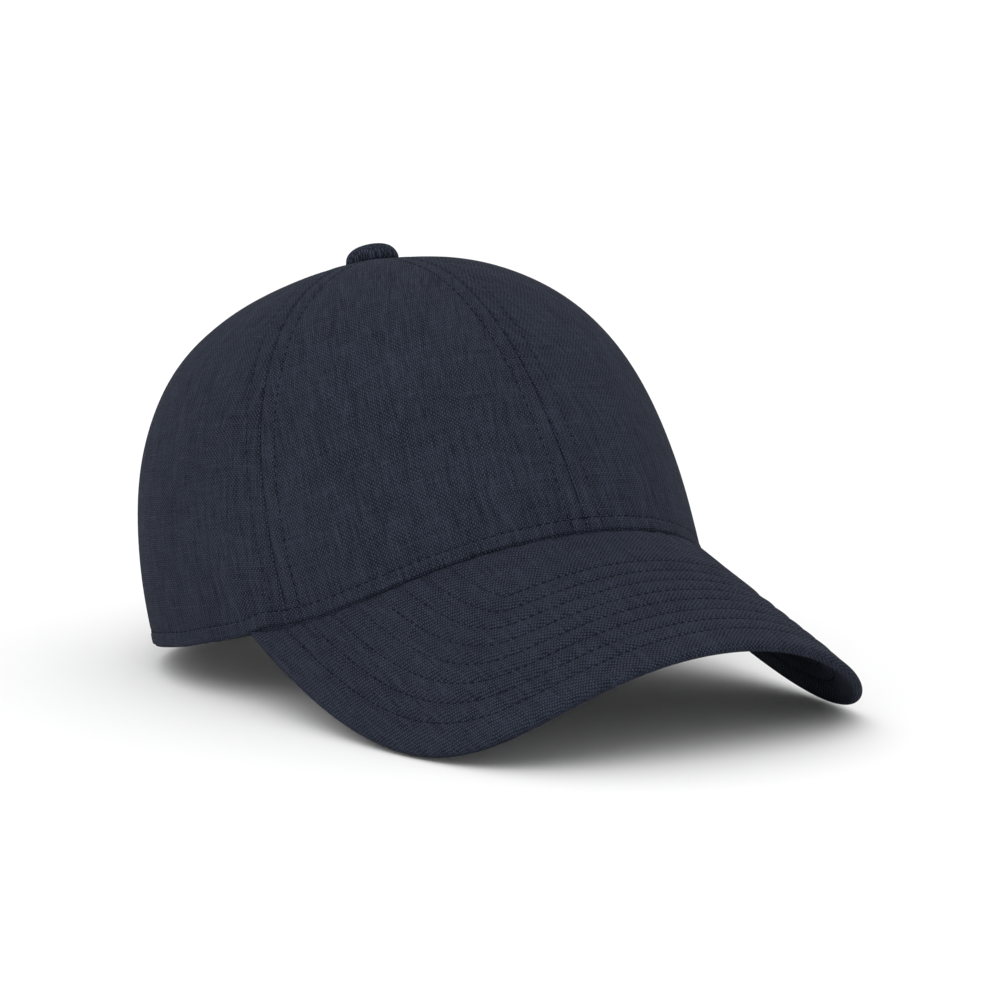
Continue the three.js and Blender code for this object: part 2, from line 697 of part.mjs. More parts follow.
const capFrame = new THREE.Group();
capFrame.add(...crownPieces(), ...visorPieces(), buttonGroup(), buckleGroup());
capFrame.add(piece('back_strap', strapGeometry(), navyCloth));
capFrame.rotation.x = -radians(REST_TILT);

// The origin is under the middle of the whole cap, on the table.
const baseballCap = new THREE.Group();
baseballCap.add(capFrame);
const extent = new THREE.Box3().setFromObject(baseballCap, true);
capFrame.position.set(
  -(extent.min.x + extent.max.x) / 2,
  -(extent.min.y + extent.max.y) / 2,
  -extent.min.z,
);

export default baseballCap;
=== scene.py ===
# %% [markdown]
# # A baseball cap in navy slub cloth
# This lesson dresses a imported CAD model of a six-panel baseball cap. The CAD part is the fixed
# frame: it says where every piece is and how the strap and the buckle's lever move. Here each cloth
# piece gets its real thickness, its turned edges, seams and stitches, and every surface a material.

# %% Load the fixed frame
import json
import math

import bmesh
import bpy
import numpy as np
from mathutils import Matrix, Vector

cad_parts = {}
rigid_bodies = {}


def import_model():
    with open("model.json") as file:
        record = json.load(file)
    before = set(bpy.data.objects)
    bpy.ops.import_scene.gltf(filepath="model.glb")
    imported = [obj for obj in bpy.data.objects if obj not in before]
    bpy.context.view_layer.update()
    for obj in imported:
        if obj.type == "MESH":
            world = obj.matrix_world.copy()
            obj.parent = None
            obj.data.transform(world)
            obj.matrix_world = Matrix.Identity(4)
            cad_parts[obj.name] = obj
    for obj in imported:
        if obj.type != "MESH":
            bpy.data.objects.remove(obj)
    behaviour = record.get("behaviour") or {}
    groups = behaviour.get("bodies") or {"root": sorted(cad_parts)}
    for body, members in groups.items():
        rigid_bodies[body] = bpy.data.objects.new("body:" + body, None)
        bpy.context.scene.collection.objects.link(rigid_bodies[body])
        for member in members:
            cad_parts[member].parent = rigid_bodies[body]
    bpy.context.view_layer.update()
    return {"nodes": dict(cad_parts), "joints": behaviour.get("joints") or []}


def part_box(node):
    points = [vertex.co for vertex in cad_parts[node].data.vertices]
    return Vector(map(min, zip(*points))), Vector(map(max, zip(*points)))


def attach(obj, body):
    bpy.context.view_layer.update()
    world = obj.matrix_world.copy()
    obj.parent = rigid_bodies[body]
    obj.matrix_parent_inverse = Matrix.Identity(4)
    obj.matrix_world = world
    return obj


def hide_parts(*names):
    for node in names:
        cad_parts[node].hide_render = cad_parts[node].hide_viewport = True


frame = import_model()
scene = bpy.context.scene

# %% [markdown]
# ## The camera
# A long lens from about a metre and a half away keeps the cap's proportions calm, as in a catalogue
# picture. The camera is turned by its azimuth and elevation round a point near the cap's middle, so
# that one pair of angles says all about the view.

# %% Camera
CAMERA_AZIMUTH = math.radians(-31.8)
CAMERA_ELEVATION = math.radians(7.84)
CAMERA_DISTANCE = 1.5056
CAMERA_LENS_MM = 172.04
FITTED_POINT = Vector((0.0, 0.02525, 0.08333))
AIM_POINT = Vector((0.01427, 0.01201, 0.05619))


def place_camera():
    out = Vector((math.sin(CAMERA_AZIMUTH), -math.cos(CAMERA_AZIMUTH), 0.0))
    away = out * math.cos(CAMERA_ELEVATION) + Vector((0, 0, math.sin(CAMERA_ELEVATION)))
    place = FITTED_POINT + away * CAMERA_DISTANCE
    bpy.ops.object.camera_add(location=place)
    camera = bpy.context.active_object
    camera.rotation_euler = (AIM_POINT - place).to_track_quat("-Z", "Y").to_euler()
    camera.data.lens = CAMERA_LENS_MM
    camera.data.clip_end = 20
    scene.camera = camera


place_camera()

# %% [markdown]
# ## Floor and light
# The floor is one large pale disc. The light is soft from all round, as in a white studio tent: a
# bright world fills every side, and a very soft high sun adds an even top light, so the pale floor
# meets the white world without an edge. A key lamp models the crown's rounding, and a low fill lamp
# reaches under the visor. Dark cloth needs this much light before its threads show.

# %% Floor and lights
FLOOR_RADIUS = 12.0
WORLD_STRENGTH = 1.0
SUN = {"strength": 0.9, "softness": 50, "tilt": (38, 0, -52)}  # degrees
LAMPS = {
    "key": {"place": (-1.2, -1.3, 1.7), "size": 1.2, "watts": 4},
    "fill": {"place": (-0.9, -1.5, 0.12), "size": 0.8, "watts": 2.5},
}


def plain_material(name, colour, roughness):
    material = bpy.data.materials.new(name)
    material.use_nodes = True
    shader = material.node_tree.nodes["Principled BSDF"]
    shader.inputs["Base Color"].default_value = (*colour, 1)
    shader.inputs["Roughness"].default_value = roughness
    return material


def make_floor():
    bpy.ops.mesh.primitive_circle_add(vertices=96, radius=FLOOR_RADIUS, fill_type="NGON")
    floor = bpy.context.active_object
    floor.name = "studio_floor"
    floor.data.materials.append(plain_material("floor_paper", (0.86, 0.86, 0.86), 0.9))


def make_lamps():
    for name, lamp in LAMPS.items():
        bpy.ops.object.light_add(type="AREA", location=lamp["place"])
        light = bpy.context.active_object
        light.name = f"{name}_lamp"
        light.data.size = lamp["size"]
        light.data.energy = lamp["watts"]
        toward = AIM_POINT - light.location
        light.rotation_euler = toward.to_track_quat("-Z", "Y").to_euler()


def make_sun():
    bpy.ops.object.light_add(type="SUN", rotation=[math.radians(a) for a in SUN["tilt"]])
    sun = bpy.context.active_object
    sun.name = "soft_sun"
    sun.data.energy = SUN["strength"]
    sun.data.angle = math.radians(SUN["softness"])


def make_world():
    world = bpy.data.worlds.new("white_tent")
    world.use_nodes = True
    sky = world.node_tree.nodes["Background"]
    sky.inputs["Color"].default_value = (1, 1, 1, 1)
    sky.inputs["Strength"].default_value = WORLD_STRENGTH
    scene.world = world
    scene.view_settings.view_transform = "Standard"


make_sun()
make_floor()
make_lamps()
make_world()

# %% [markdown]
# ## The cap's own frame
# A cap is drafted square to the head opening, but it rests leaning back. All sizes below are in
# millimetres in that drafting frame, with the visor towards -Y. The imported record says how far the
# cap leans: its strap slides about an axis that stands square to the opening.

# %% From the drafting frame to the table
STRAP_JOINT = next(joint for joint in frame["joints"] if joint["name"] == "strap_slide")
STRAP_PIVOT = (0.0, 5.4, 9.8)  # where that joint is in the drafting frame
_, LEAN_SINE, LEAN_COSINE = STRAP_JOINT["axis"]


def leaned(points):
    """Turns drafting-frame vectors by the cap's lean."""
    x, y, z = np.moveaxis(np.asarray(points, float), -1, 0)
    return np.stack([x, LEAN_COSINE * y + LEAN_SINE * z, LEAN_COSINE * z - LEAN_SINE * y], -1)


SHIFT = np.array(STRAP_JOINT["pos_m"]) - leaned(STRAP_PIVOT) / 1000


def on_table(points):
    """Drafting-frame millimetres to metres on the table, which is the CAD model's frame."""
    return leaned(points) / 1000 + SHIFT


# %% [markdown]
# ## The crown's surface
# The rim is a rounded oval that dips under the visor. From each rim point a smooth curve climbs to
# the apex, and its bulge changes round the head. These are the CAD model's own driving dimensions,
# so that a piece drawn with them lands exactly on the solid that it stands for.

# %% Driving dimensions of rim, crown and visor
RIM = {"half_width": 82.4, "front": 112, "back": 85, "front_round": 0.92, "back_round": 1.03}
CROWN = {"height": 105.6, "apex_y": -11.7, "apex_drop": 4.6}
BULGE = (-0.05, -0.015, 0.06, -0.125)  # at the front, 60 and 120 degrees round, and the back
REACH = (0.03, 0.48, 0.88, 1.3)
SHOULDER = (0.88, 0.9, 0.54, 0.35)
SIDE_SEAM = {"angle": 63.6, "bow": 5.6, "drift": -6.9}
BACK_SEAM_ANGLE = 119.0
APEX_HOLE = 2.2
VISOR = {
    "length": 61.8, "front_handle": 68.6, "side_handle": 93.9, "side_splay": 2.7, "pitch": 35,
    "bend_width": 75, "round_drop": 35, "edge_drop": 20, "rise": -1.3, "end_angle": 72.8,
    "thickness": 3.5,
}
BACK_RIM = {"rise": 0.7, "swell": 2.6}
ARCH = {"half_angle": 30, "half_width": 41, "height": 46}
VISOR_SLOPE = math.tan(math.radians(VISOR["pitch"]))


# %% Rim and visor heights
def mix(a, b, t):
    return a + (b - a) * t


def smooth(t):
    t = np.clip(t, 0, 1)
    return t * t * (3 - 2 * t)


def blend_around(values, angle):
    """A smooth value round the head from four stated ones, 60 degrees apart."""
    front, front_quarter, back_quarter, back = values
    a = np.radians(angle)
    mean = (front + 2 * front_quarter + 2 * back_quarter + back) / 6
    first = (front + front_quarter - back_quarter - back) / 3
    second = (front - front_quarter - back_quarter + back) / 3
    third = (front - 2 * front_quarter + 2 * back_quarter - back) / 6
    return mean + first * np.cos(a) + second * np.cos(2 * a) + third * np.cos(3 * a)


def rim_plan(angle, depth=0.0):
    c, s = np.cos(np.radians(angle)), np.sin(np.radians(angle))
    length = np.where(c > 0, RIM["front"], RIM["back"])
    roundness = np.where(c > 0, RIM["front_round"], RIM["back_round"])
    x = -(RIM["half_width"] - depth) * np.sign(s) * np.abs(s) ** roundness
    y = -(length - depth) * np.sign(c) * np.abs(c) ** roundness
    return x, y


def visor_height(x, y):
    across = x / VISOR["bend_width"]
    drop = VISOR["round_drop"] * across**2 + VISOR["edge_drop"] * across**4
    return VISOR["rise"] - drop - VISOR_SLOPE * (-y - RIM["front"])


def visor_normal(x):
    across = np.asarray(x, float) / VISOR["bend_width"]
    slope = 2 * VISOR["round_drop"] * across + 4 * VISOR["edge_drop"] * across**3
    slope = slope / VISOR["bend_width"]
    normal = np.stack([slope, np.full_like(slope, -VISOR_SLOPE), np.ones_like(slope)], -1)
    return normal / np.linalg.norm(normal, axis=-1, keepdims=True)


def rim_height(angle):
    away = np.abs(angle)
    under_visor = visor_height(*rim_plan(np.minimum(away, VISOR["end_angle"])))
    t = np.clip((away - VISOR["end_angle"]) / (180 - VISOR["end_angle"]), 0, 1)
    behind = mix(under_visor, BACK_RIM["rise"], smooth(t)) + BACK_RIM["swell"] * np.sin(np.pi * t)
    return np.where(away <= VISOR["end_angle"], under_visor, behind)


# %% Points of the crown
PROFILE_STEPS = 80


def crown_handles(angle, depth):
    x, y = rim_plan(angle, depth)
    z = rim_height(angle)
    top = CROWN["height"] - depth
    from_apex = y - CROWN["apex_y"]
    low = 1 + blend_around(BULGE, angle)
    high = blend_around(SHOULDER, angle)
    knee = mix(z, top, blend_around(REACH, angle))
    shoulder_z = np.broadcast_to(top - CROWN["apex_drop"], x.shape)
    apex_y = np.full_like(x, CROWN["apex_y"])
    return (
        np.stack([x, y, z], -1),
        np.stack([x * low, apex_y + from_apex * low, knee], -1),
        np.stack([x * high, apex_y + from_apex * high, shoulder_z], -1),
        np.stack([np.zeros_like(x), apex_y, np.broadcast_to(top, x.shape)], -1),
    )


def cubic(handles, t):
    a, b, c, d = handles
    t = np.asarray(t)[..., None]
    return (1 - t) ** 3 * a + 3 * (1 - t) ** 2 * t * b + 3 * (1 - t) * t**2 * c + t**3 * d


def profile_lengths(angle):
    """Distance along the cloth from the rim to each of PROFILE_STEPS places, for each angle."""
    handles = crown_handles(np.abs(angle), 0.0)
    steps = np.linspace(0, 1, PROFILE_STEPS + 1)
    points = np.stack([cubic(handles, np.full(np.shape(angle), t)) for t in steps])
    pieces = np.linalg.norm(np.diff(points, axis=0), axis=-1)
    return np.concatenate([np.zeros((1, *np.shape(angle))), np.cumsum(pieces, axis=0)])


def profile_length(angle):
    return profile_lengths(np.asarray(angle, float))[-1]


def crown_point(angle, distance, depth=0.0):
    """A point at an angle round from the front and a distance up the cloth from the rim."""
    angle, distance, depth = np.broadcast_arrays(
        np.asarray(angle, float), np.asarray(distance, float), np.asarray(depth, float)
    )
    lengths = profile_lengths(angle)
    distance = np.clip(distance, 0, lengths[-1])
    step = np.clip((lengths < distance).sum(axis=0), 1, PROFILE_STEPS)
    before = np.take_along_axis(lengths, step[None] - 1, 0)[0]
    after = np.take_along_axis(lengths, step[None], 0)[0]
    t = (step - 1 + (distance - before) / (after - before)) / PROFILE_STEPS
    return cubic(crown_handles(angle, depth), t)


def apex_radius(angle, distance):
    point = crown_point(angle, distance)
    return np.maximum(1.5, np.hypot(point[..., 0], point[..., 1] - CROWN["apex_y"]))


def side_seam(share):
    bow = SIDE_SEAM["bow"] * 4 * share * (1 - share)
    return SIDE_SEAM["angle"] + bow + SIDE_SEAM["drift"] * share


front_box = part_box("crown_front_right")
print("front seam length, mm:", round(float(profile_length(0.0)), 1))
print("rim front, table frame:", on_table(crown_point(0.0, 0.0)), "CAD low corner:", front_box[0])

# %% [markdown]
# ## Making a sheet of cloth
# Every cloth piece is a thin closed shell. It could be a plane with a Solidify modifier, but then
# both faces would have the same relief. Here each piece is two grids of points, the outer face and
# the inner face, joined round the border. The grids carry the turned edge, the ridge of the seam
# allowance and the furrow of each stitch row as real shape. A UV map called weave holds each
# point's place on the flat cloth in metres, so the threads run straight up every panel.

# %% Grids to closed cloth
CLOTH_THICKNESS = 0.9
BORDER_SHARE = 0.96  # how nearly the two faces meet at a turned edge


def grid_normals(points):
    along = np.gradient(points, axis=1)
    up = np.gradient(points, axis=0)
    normal = np.cross(along, up)
    return normal / np.maximum(np.linalg.norm(normal, axis=-1, keepdims=True), 1e-9)


def row_distances(points):
    """Distance along each row of a grid from its first column."""
    steps = np.linalg.norm(np.diff(points, axis=1), axis=-1)
    return np.concatenate([np.zeros((len(points), 1)), np.cumsum(steps, axis=1)], axis=1)


def border_loop(index):
    return np.concatenate([index[0, :-1], index[:-1, -1], index[-1, :0:-1], index[:0:-1, 0]])


def shell_faces(rows, columns):
    index = np.arange(rows * columns).reshape(rows, columns)
    other = rows * columns
    a, b, c, d = index[:-1, :-1], index[:-1, 1:], index[1:, 1:], index[1:, :-1]
    outer = np.stack([a, b, c, d], -1).reshape(-1, 4)
    inner = np.stack([a, d, c, b], -1).reshape(-1, 4) + other
    loop = border_loop(index)
    following = np.roll(loop, -1)
    rim = np.stack([following, loop, loop + other, following + other], -1)
    return np.concatenate([outer, inner, rim])


def volume_of(points, faces):
    a, b, c, d = (points[faces[:, i]] for i in range(4))
    first = np.einsum("ij,ij->i", a, np.cross(b, c))
    second = np.einsum("ij,ij->i", a, np.cross(c, d))
    return float((first + second).sum() / 6)


def mesh_object(name, points, faces, material, flat=None):
    """A mesh object in the CAD frame from drafting-frame millimetres."""
    points = on_table(points)
    if volume_of(points, faces) < 0:
        faces = faces[:, ::-1]
    mesh = bpy.data.meshes.new(name)
    mesh.from_pydata(points, [], faces)
    mesh.polygons.foreach_set("use_smooth", np.ones(len(mesh.polygons), bool))
    if flat is not None:
        corner = np.zeros(len(mesh.loops), np.int32)
        mesh.loops.foreach_get("vertex_index", corner)
        layer = mesh.uv_layers.new(name="weave")
        layer.data.foreach_set("uv", (flat[corner] / 1000).astype(np.float32).ravel())
    mesh.materials.append(material)
    mesh.update()
    piece = bpy.data.objects.new(name, mesh)
    scene.collection.objects.link(piece)
    return piece


def cloth_object(name, outer, inner, flat, material):
    rows, columns = outer.shape[:2]
    points = np.concatenate([outer.reshape(-1, 3), inner.reshape(-1, 3)])
    both = np.concatenate([flat.reshape(-1, 2)] * 2)
    return mesh_object(name, points, shell_faces(rows, columns), material, both)


# %% Turned edges and furrows
def turned(distance, radius=1.0):
    """1 at a folded edge, falling to 0 one radius inside it, along a quarter circle."""
    x = np.clip(1 - distance / radius, 0, 1)
    return 1 - np.sqrt(1 - x * x)


def furrow(distance, place, width):
    return np.exp(-(((distance - place) / width) ** 2))


def loose_waves(points):
    """A gentle unevenness of hand-steamed cloth, from a few long waves."""
    x, y, z = np.moveaxis(points, -1, 0)
    wave = np.sin(x / 13.0 + z / 21.0 + 0.7) + np.sin(y / 17.0 - z / 12.0 + 2.1)
    wave = wave + 0.7 * np.sin(x / 7.5 - y / 9.5 + 1.3) + 0.5 * np.sin(z / 6.5 + x / 11.0)
    return wave / 3.2


# %% [markdown]
# ## Threads and weave as node groups
# The cloth is a plain weave: each thread goes over one and under the next. One node group builds
# it from sines, puts out a height for the bump and a shade for the colour, and lets single threads
# run thicker and lighter for a while, which makes the slubs. That shade is partly painted shade:
# darker down between the threads and lighter on their tops. Tape and sweatband share a second
# group with a twill's slanted ribs, whose grooves are painted darker in the same way. Materials
# feed both groups with the weave UV map, so the pattern lies in each piece's own cloth.

# %% Helpers for node groups
def new_group(name, inputs, outputs):
    group = bpy.data.node_groups.new(name, "ShaderNodeTree")
    for title, kind, value in inputs:
        socket = group.interface.new_socket(title, in_out="INPUT", socket_type=kind)
        if value is not None:
            socket.default_value = value
    for title, kind in outputs:
        group.interface.new_socket(title, in_out="OUTPUT", socket_type=kind)
    entry = group.nodes.new("NodeGroupInput")
    leave = group.nodes.new("NodeGroupOutput")
    return group, entry, leave


def fill(tree, socket, value):
    if isinstance(value, bpy.types.NodeSocket):
        tree.links.new(value, socket)
    elif value is not None:
        socket.default_value = value


def sums(tree, operation, first, second=None, third=None):
    """A Math node; its result socket."""
    node = tree.nodes.new("ShaderNodeMath")
    node.operation = operation
    for socket, value in zip(node.inputs, (first, second, third)):
        fill(tree, socket, value)
    return node.outputs[0]


def vectors(tree, operation, first, second=None, scale=None):
    node = tree.nodes.new("ShaderNodeVectorMath")
    node.operation = operation
    fill(tree, node.inputs[0], first)
    fill(tree, node.inputs[1], second)
    if scale is not None:
        fill(tree, node.inputs["Scale"], scale)
    return node.outputs[0]


def noise(tree, vector, scale, detail=2.0, roughness=0.5):
    node = tree.nodes.new("ShaderNodeTexNoise")
    fill(tree, node.inputs["Vector"], vector)
    node.inputs["Scale"].default_value = scale
    node.inputs["Detail"].default_value = detail
    node.inputs["Roughness"].default_value = roughness
    return node.outputs[0]


def joined(tree, x, y, z=0.0):
    node = tree.nodes.new("ShaderNodeCombineXYZ")
    for socket, value in zip(node.inputs, (x, y, z)):
        fill(tree, socket, value)
    return node.outputs[0]


def remap(tree, value, low, high, to_low=0.0, to_high=1.0):
    node = tree.nodes.new("ShaderNodeMapRange")
    for socket, number in zip(node.inputs, (value, low, high, to_low, to_high)):
        fill(tree, socket, number)
    return node.outputs[0]


# %% The plain weave group
def thread_shade(tree, lane, run, seed):
    """One thread's own lightness, changing slowly along it."""
    place = joined(
        tree, sums(tree, "MULTIPLY", lane, 7.31), sums(tree, "MULTIPLY", run, 0.07), seed
    )
    return noise(tree, place, 1.0, 3.0, 0.6)


def make_plain_weave():
    inputs = [
        ("Vector", "NodeSocketVector", None),
        ("Threads per metre", "NodeSocketFloat", 1700.0),
        ("Slub", "NodeSocketFloat", 0.5),
        ("Contrast", "NodeSocketFloat", 0.5),
    ]
    outputs = [("Shade", "NodeSocketFloat"), ("Height", "NodeSocketFloat")]
    group, entry, leave = new_group("plain_weave", inputs, outputs)
    counted = vectors(group, "SCALE", entry.outputs["Vector"], scale=entry.outputs[1])
    drift = group.nodes.new("ShaderNodeTexNoise")
    drift.inputs["Scale"].default_value = 0.16
    drift.inputs["Detail"].default_value = 1.0
    group.links.new(counted, drift.inputs["Vector"])
    counted = vectors(
        group, "ADD", counted, vectors(group, "SCALE", drift.outputs["Color"], scale=1.6)
    )
    parts = group.nodes.new("ShaderNodeSeparateXYZ")
    group.links.new(counted, parts.inputs[0])
    u, v = parts.outputs[0], parts.outputs[1]
    lane_u, lane_v = sums(group, "FLOOR", u), sums(group, "FLOOR", v)

    def wave(value):
        return sums(group, "SINE", sums(group, "MULTIPLY", value, math.pi))

    round_u = sums(group, "ABSOLUTE", wave(u))
    round_v = sums(group, "ABSOLUTE", wave(v))
    lift_u = wave(sums(group, "ADD", v, lane_u))
    lift_v = wave(sums(group, "ADD", u, lane_v))
    shade_u = thread_shade(group, lane_u, v, 3.7)
    shade_v = thread_shade(group, lane_v, u, 51.3)
    thick_u = remap(group, shade_u, 0.55, 0.75, 0.0, 0.25)
    thick_v = remap(group, shade_v, 0.6, 0.8, 0.0, 0.2)
    warp = sums(group, "MULTIPLY_ADD", lift_u, 0.4, sums(group, "MULTIPLY", round_u, 0.6))
    weft = sums(group, "MULTIPLY_ADD", lift_v, -0.4, sums(group, "MULTIPLY", round_v, 0.6))
    warp = sums(group, "ADD", warp, sums(group, "MULTIPLY", thick_u, entry.outputs["Slub"]))
    weft = sums(group, "ADD", weft, sums(group, "MULTIPLY", thick_v, entry.outputs["Slub"]))
    height = sums(group, "MAXIMUM", warp, weft)
    on_top = sums(group, "GREATER_THAN", warp, weft)
    own = group.nodes.new("ShaderNodeMix")
    fill(group, own.inputs["Factor"], on_top)
    fill(group, own.inputs["A"], shade_v)
    fill(group, own.inputs["B"], shade_u)
    fuzz = noise(group, counted, 3.1, 2.0, 0.7)
    fuzz = sums(group, "MULTIPLY", sums(group, "SUBTRACT", fuzz, 0.5), 0.95)
    streak = sums(group, "MULTIPLY", sums(group, "SUBTRACT", own.outputs[0], 0.5), 1.1)
    upright = sums(group, "MULTIPLY", sums(group, "SUBTRACT", shade_u, 0.5), 0.6)
    streak = sums(group, "ADD", streak, upright)
    # Painted shade: the colour follows the threads' height, darker down in the gaps between threads and lighter on
    # thread tops and raised slubs.
    relief = sums(group, "MULTIPLY", sums(group, "SUBTRACT", height, 0.62), 1.15)
    contrast = sums(
        group, "MULTIPLY", sums(group, "SUBTRACT", on_top, 0.5), entry.outputs["Contrast"]
    )
    shade = sums(group, "ADD", sums(group, "ADD", streak, relief), sums(group, "ADD", fuzz, 0.5))
    shade = sums(group, "ADD", shade, contrast)
    group.links.new(shade, leave.inputs["Shade"])
    group.links.new(
        sums(group, "ADD", height, sums(group, "MULTIPLY", fuzz, 0.35)), leave.inputs["Height"]
    )
    return group


# %% The twill group
def make_twill():
    inputs = [("Vector", "NodeSocketVector", None), ("Ribs per metre", "NodeSocketFloat", 1100.0)]
    outputs = [("Shade", "NodeSocketFloat"), ("Height", "NodeSocketFloat")]
    group, entry, leave = new_group("twill_rib", inputs, outputs)
    counted = vectors(group, "SCALE", entry.outputs["Vector"], scale=entry.outputs[1])
    parts = group.nodes.new("ShaderNodeSeparateXYZ")
    group.links.new(counted, parts.inputs[0])
    u, v = parts.outputs[0], parts.outputs[1]
    slant = sums(group, "ADD", u, v)
    rib = sums(group, "ABSOLUTE", sums(group, "SINE", sums(group, "MULTIPLY", slant, math.pi)))
    picks = sums(group, "SINE", sums(group, "MULTIPLY", sums(group, "SUBTRACT", u, v), 2 * math.pi))
    fuzz = sums(group, "MULTIPLY", sums(group, "SUBTRACT", noise(group, counted, 2.3), 0.5), 0.9)
    height = sums(group, "ADD", rib, sums(group, "MULTIPLY", picks, 0.18))
    # Painted shade: the colour follows the ribs' height, darker in the grooves and lighter on the rib tops.
    shade = sums(group, "ADD", sums(group, "MULTIPLY", height, 0.6), fuzz)
    group.links.new(shade, leave.inputs["Shade"])
    group.links.new(height, leave.inputs["Height"])
    return group


# %% The soiling group: soft large patches that no two places share
def make_patches():
    inputs = [("Size in metres", "NodeSocketFloat", 0.012)]
    group, entry, leave = new_group("soft_patches", inputs, [("Shade", "NodeSocketFloat")])
    place = group.nodes.new("ShaderNodeTexCoord").outputs["Object"]
    scale = sums(group, "DIVIDE", 1.0, entry.outputs[0])
    patch = noise(group, vectors(group, "SCALE", place, scale=scale), 1.0, 4.0, 0.6)
    group.links.new(patch, leave.inputs["Shade"])
    return group


PLAIN_WEAVE = make_plain_weave()
TWILL = make_twill()
PATCHES = make_patches()

# %% [markdown]
# ## Cloth materials
# Wool-like cloth is matt, with a faint sheen where fibres catch the light along the edges. The
# group's shade picks between a dark and a light colour: the threads' own tones, with painted shade
# down in the weave and painted light on the thread tops.
# Large soft patches shift it a little, as dyed cloth is never quite even. The sheen and roughness
# are the same all over, so they're set on the shader itself.


# %% Cloth material
def place_group(tree, group, **values):
    node = tree.nodes.new("ShaderNodeGroup")
    node.node_tree = group
    for title, value in values.items():
        fill(tree, node.inputs[title.replace("_", " ")], value)
    return node


def weave_map(tree):
    node = tree.nodes.new("ShaderNodeUVMap")
    node.uv_map = "weave"
    return node.outputs[0]


def colour_between(tree, shade, low, high):
    node = tree.nodes.new("ShaderNodeMix")
    node.data_type = "RGBA"
    fill(tree, node.inputs["Factor"], shade)
    node.inputs[6].default_value = (*low, 1)
    node.inputs[7].default_value = (*high, 1)
    return node.outputs[2]


def bump(tree, height, distance, strength=1.0):
    node = tree.nodes.new("ShaderNodeBump")
    fill(tree, node.inputs["Height"], height)
    node.inputs["Distance"].default_value = distance
    node.inputs["Strength"].default_value = strength
    return node.outputs[0]


def cloth_material(name, pattern, low, high, relief, patch_size=0.02, patches=0.3, sheen=0.012):
    """pattern(tree) gives a shade and a height; low and high are the colours it swings between."""
    material = bpy.data.materials.new(name)
    material.use_nodes = True
    tree = material.node_tree
    shader = tree.nodes["Principled BSDF"]
    shade, height = pattern(tree)
    patch = place_group(tree, PATCHES, Size_in_metres=patch_size).outputs[0]
    patch = sums(tree, "MULTIPLY", sums(tree, "SUBTRACT", patch, 0.5), patches)
    mixed = sums(tree, "ADD", shade, patch)
    tree.links.new(colour_between(tree, mixed, low, high), shader.inputs["Base Color"])
    tree.links.new(bump(tree, height, relief), shader.inputs["Normal"])
    shader.inputs["Roughness"].default_value = 0.92
    shader.inputs["Specular IOR Level"].default_value = 0.05
    shader.inputs["Sheen Weight"].default_value = sheen
    shader.inputs["Sheen Roughness"].default_value = 0.45
    shader.inputs["Sheen Tint"].default_value = (0.62, 0.7, 0.9, 1)
    return material


def plain_weave_of(threads, slub, contrast=0.3):
    def pattern(tree):
        values = {"Threads_per_metre": threads, "Slub": slub, "Contrast": contrast}
        node = place_group(tree, PLAIN_WEAVE, Vector=weave_map(tree), **values)
        return node.outputs["Shade"], node.outputs["Height"]

    return pattern


def twill_of(ribs):
    def pattern(tree):
        node = place_group(tree, TWILL, Vector=weave_map(tree), Ribs_per_metre=ribs)
        return node.outputs["Shade"], node.outputs["Height"]

    return pattern


# Low is the cloth's darkest tone and also painted shade down between the threads; high is its lightest tone and
# also painted light on the thread tops.
NAVY_DARK_AND_GAP_SHADE = (0.003, 0.0038, 0.0062)
NAVY_LIGHT_AND_LIT_TOPS = (0.034, 0.041, 0.063)
crown_cloth = cloth_material(
    "crown_cloth", plain_weave_of(1560, 0.9, 0.55), NAVY_DARK_AND_GAP_SHADE, NAVY_LIGHT_AND_LIT_TOPS, 0.00026
)
visor_cloth = cloth_material(
    "visor_cloth", plain_weave_of(1420, 0.8, 0.75), NAVY_DARK_AND_GAP_SHADE, NAVY_LIGHT_AND_LIT_TOPS, 0.0003
)
strap_cloth = cloth_material(
    "strap_cloth", plain_weave_of(1430, 0.5, 0.7), NAVY_DARK_AND_GAP_SHADE, NAVY_LIGHT_AND_LIT_TOPS, 0.0002
)
# The dark colours of tape, sweatband and label are also painted shade in the twill's grooves.
tape_cloth = cloth_material(
    "seam_tape_cloth", twill_of(1200), (0.006, 0.008, 0.012), (0.042, 0.05, 0.074), 0.0003
)
sweat_cloth = cloth_material(
    "sweatband_cloth", twill_of(1400), (0.008, 0.01, 0.015), (0.052, 0.062, 0.092), 0.0003
)
buckram_cloth = cloth_material(
    "buckram_cloth", plain_weave_of(800, 0.3), (0.34, 0.32, 0.27), (0.78, 0.76, 0.7), 0.0003, sheen=0.02
)
label_cloth = cloth_material(
    "label_cloth", twill_of(1900), (0.5, 0.48, 0.43), (0.8, 0.78, 0.72), 0.0001, sheen=0.02
)


# %% Thread material
THREAD_TWISTS_PER_METRE = 1600


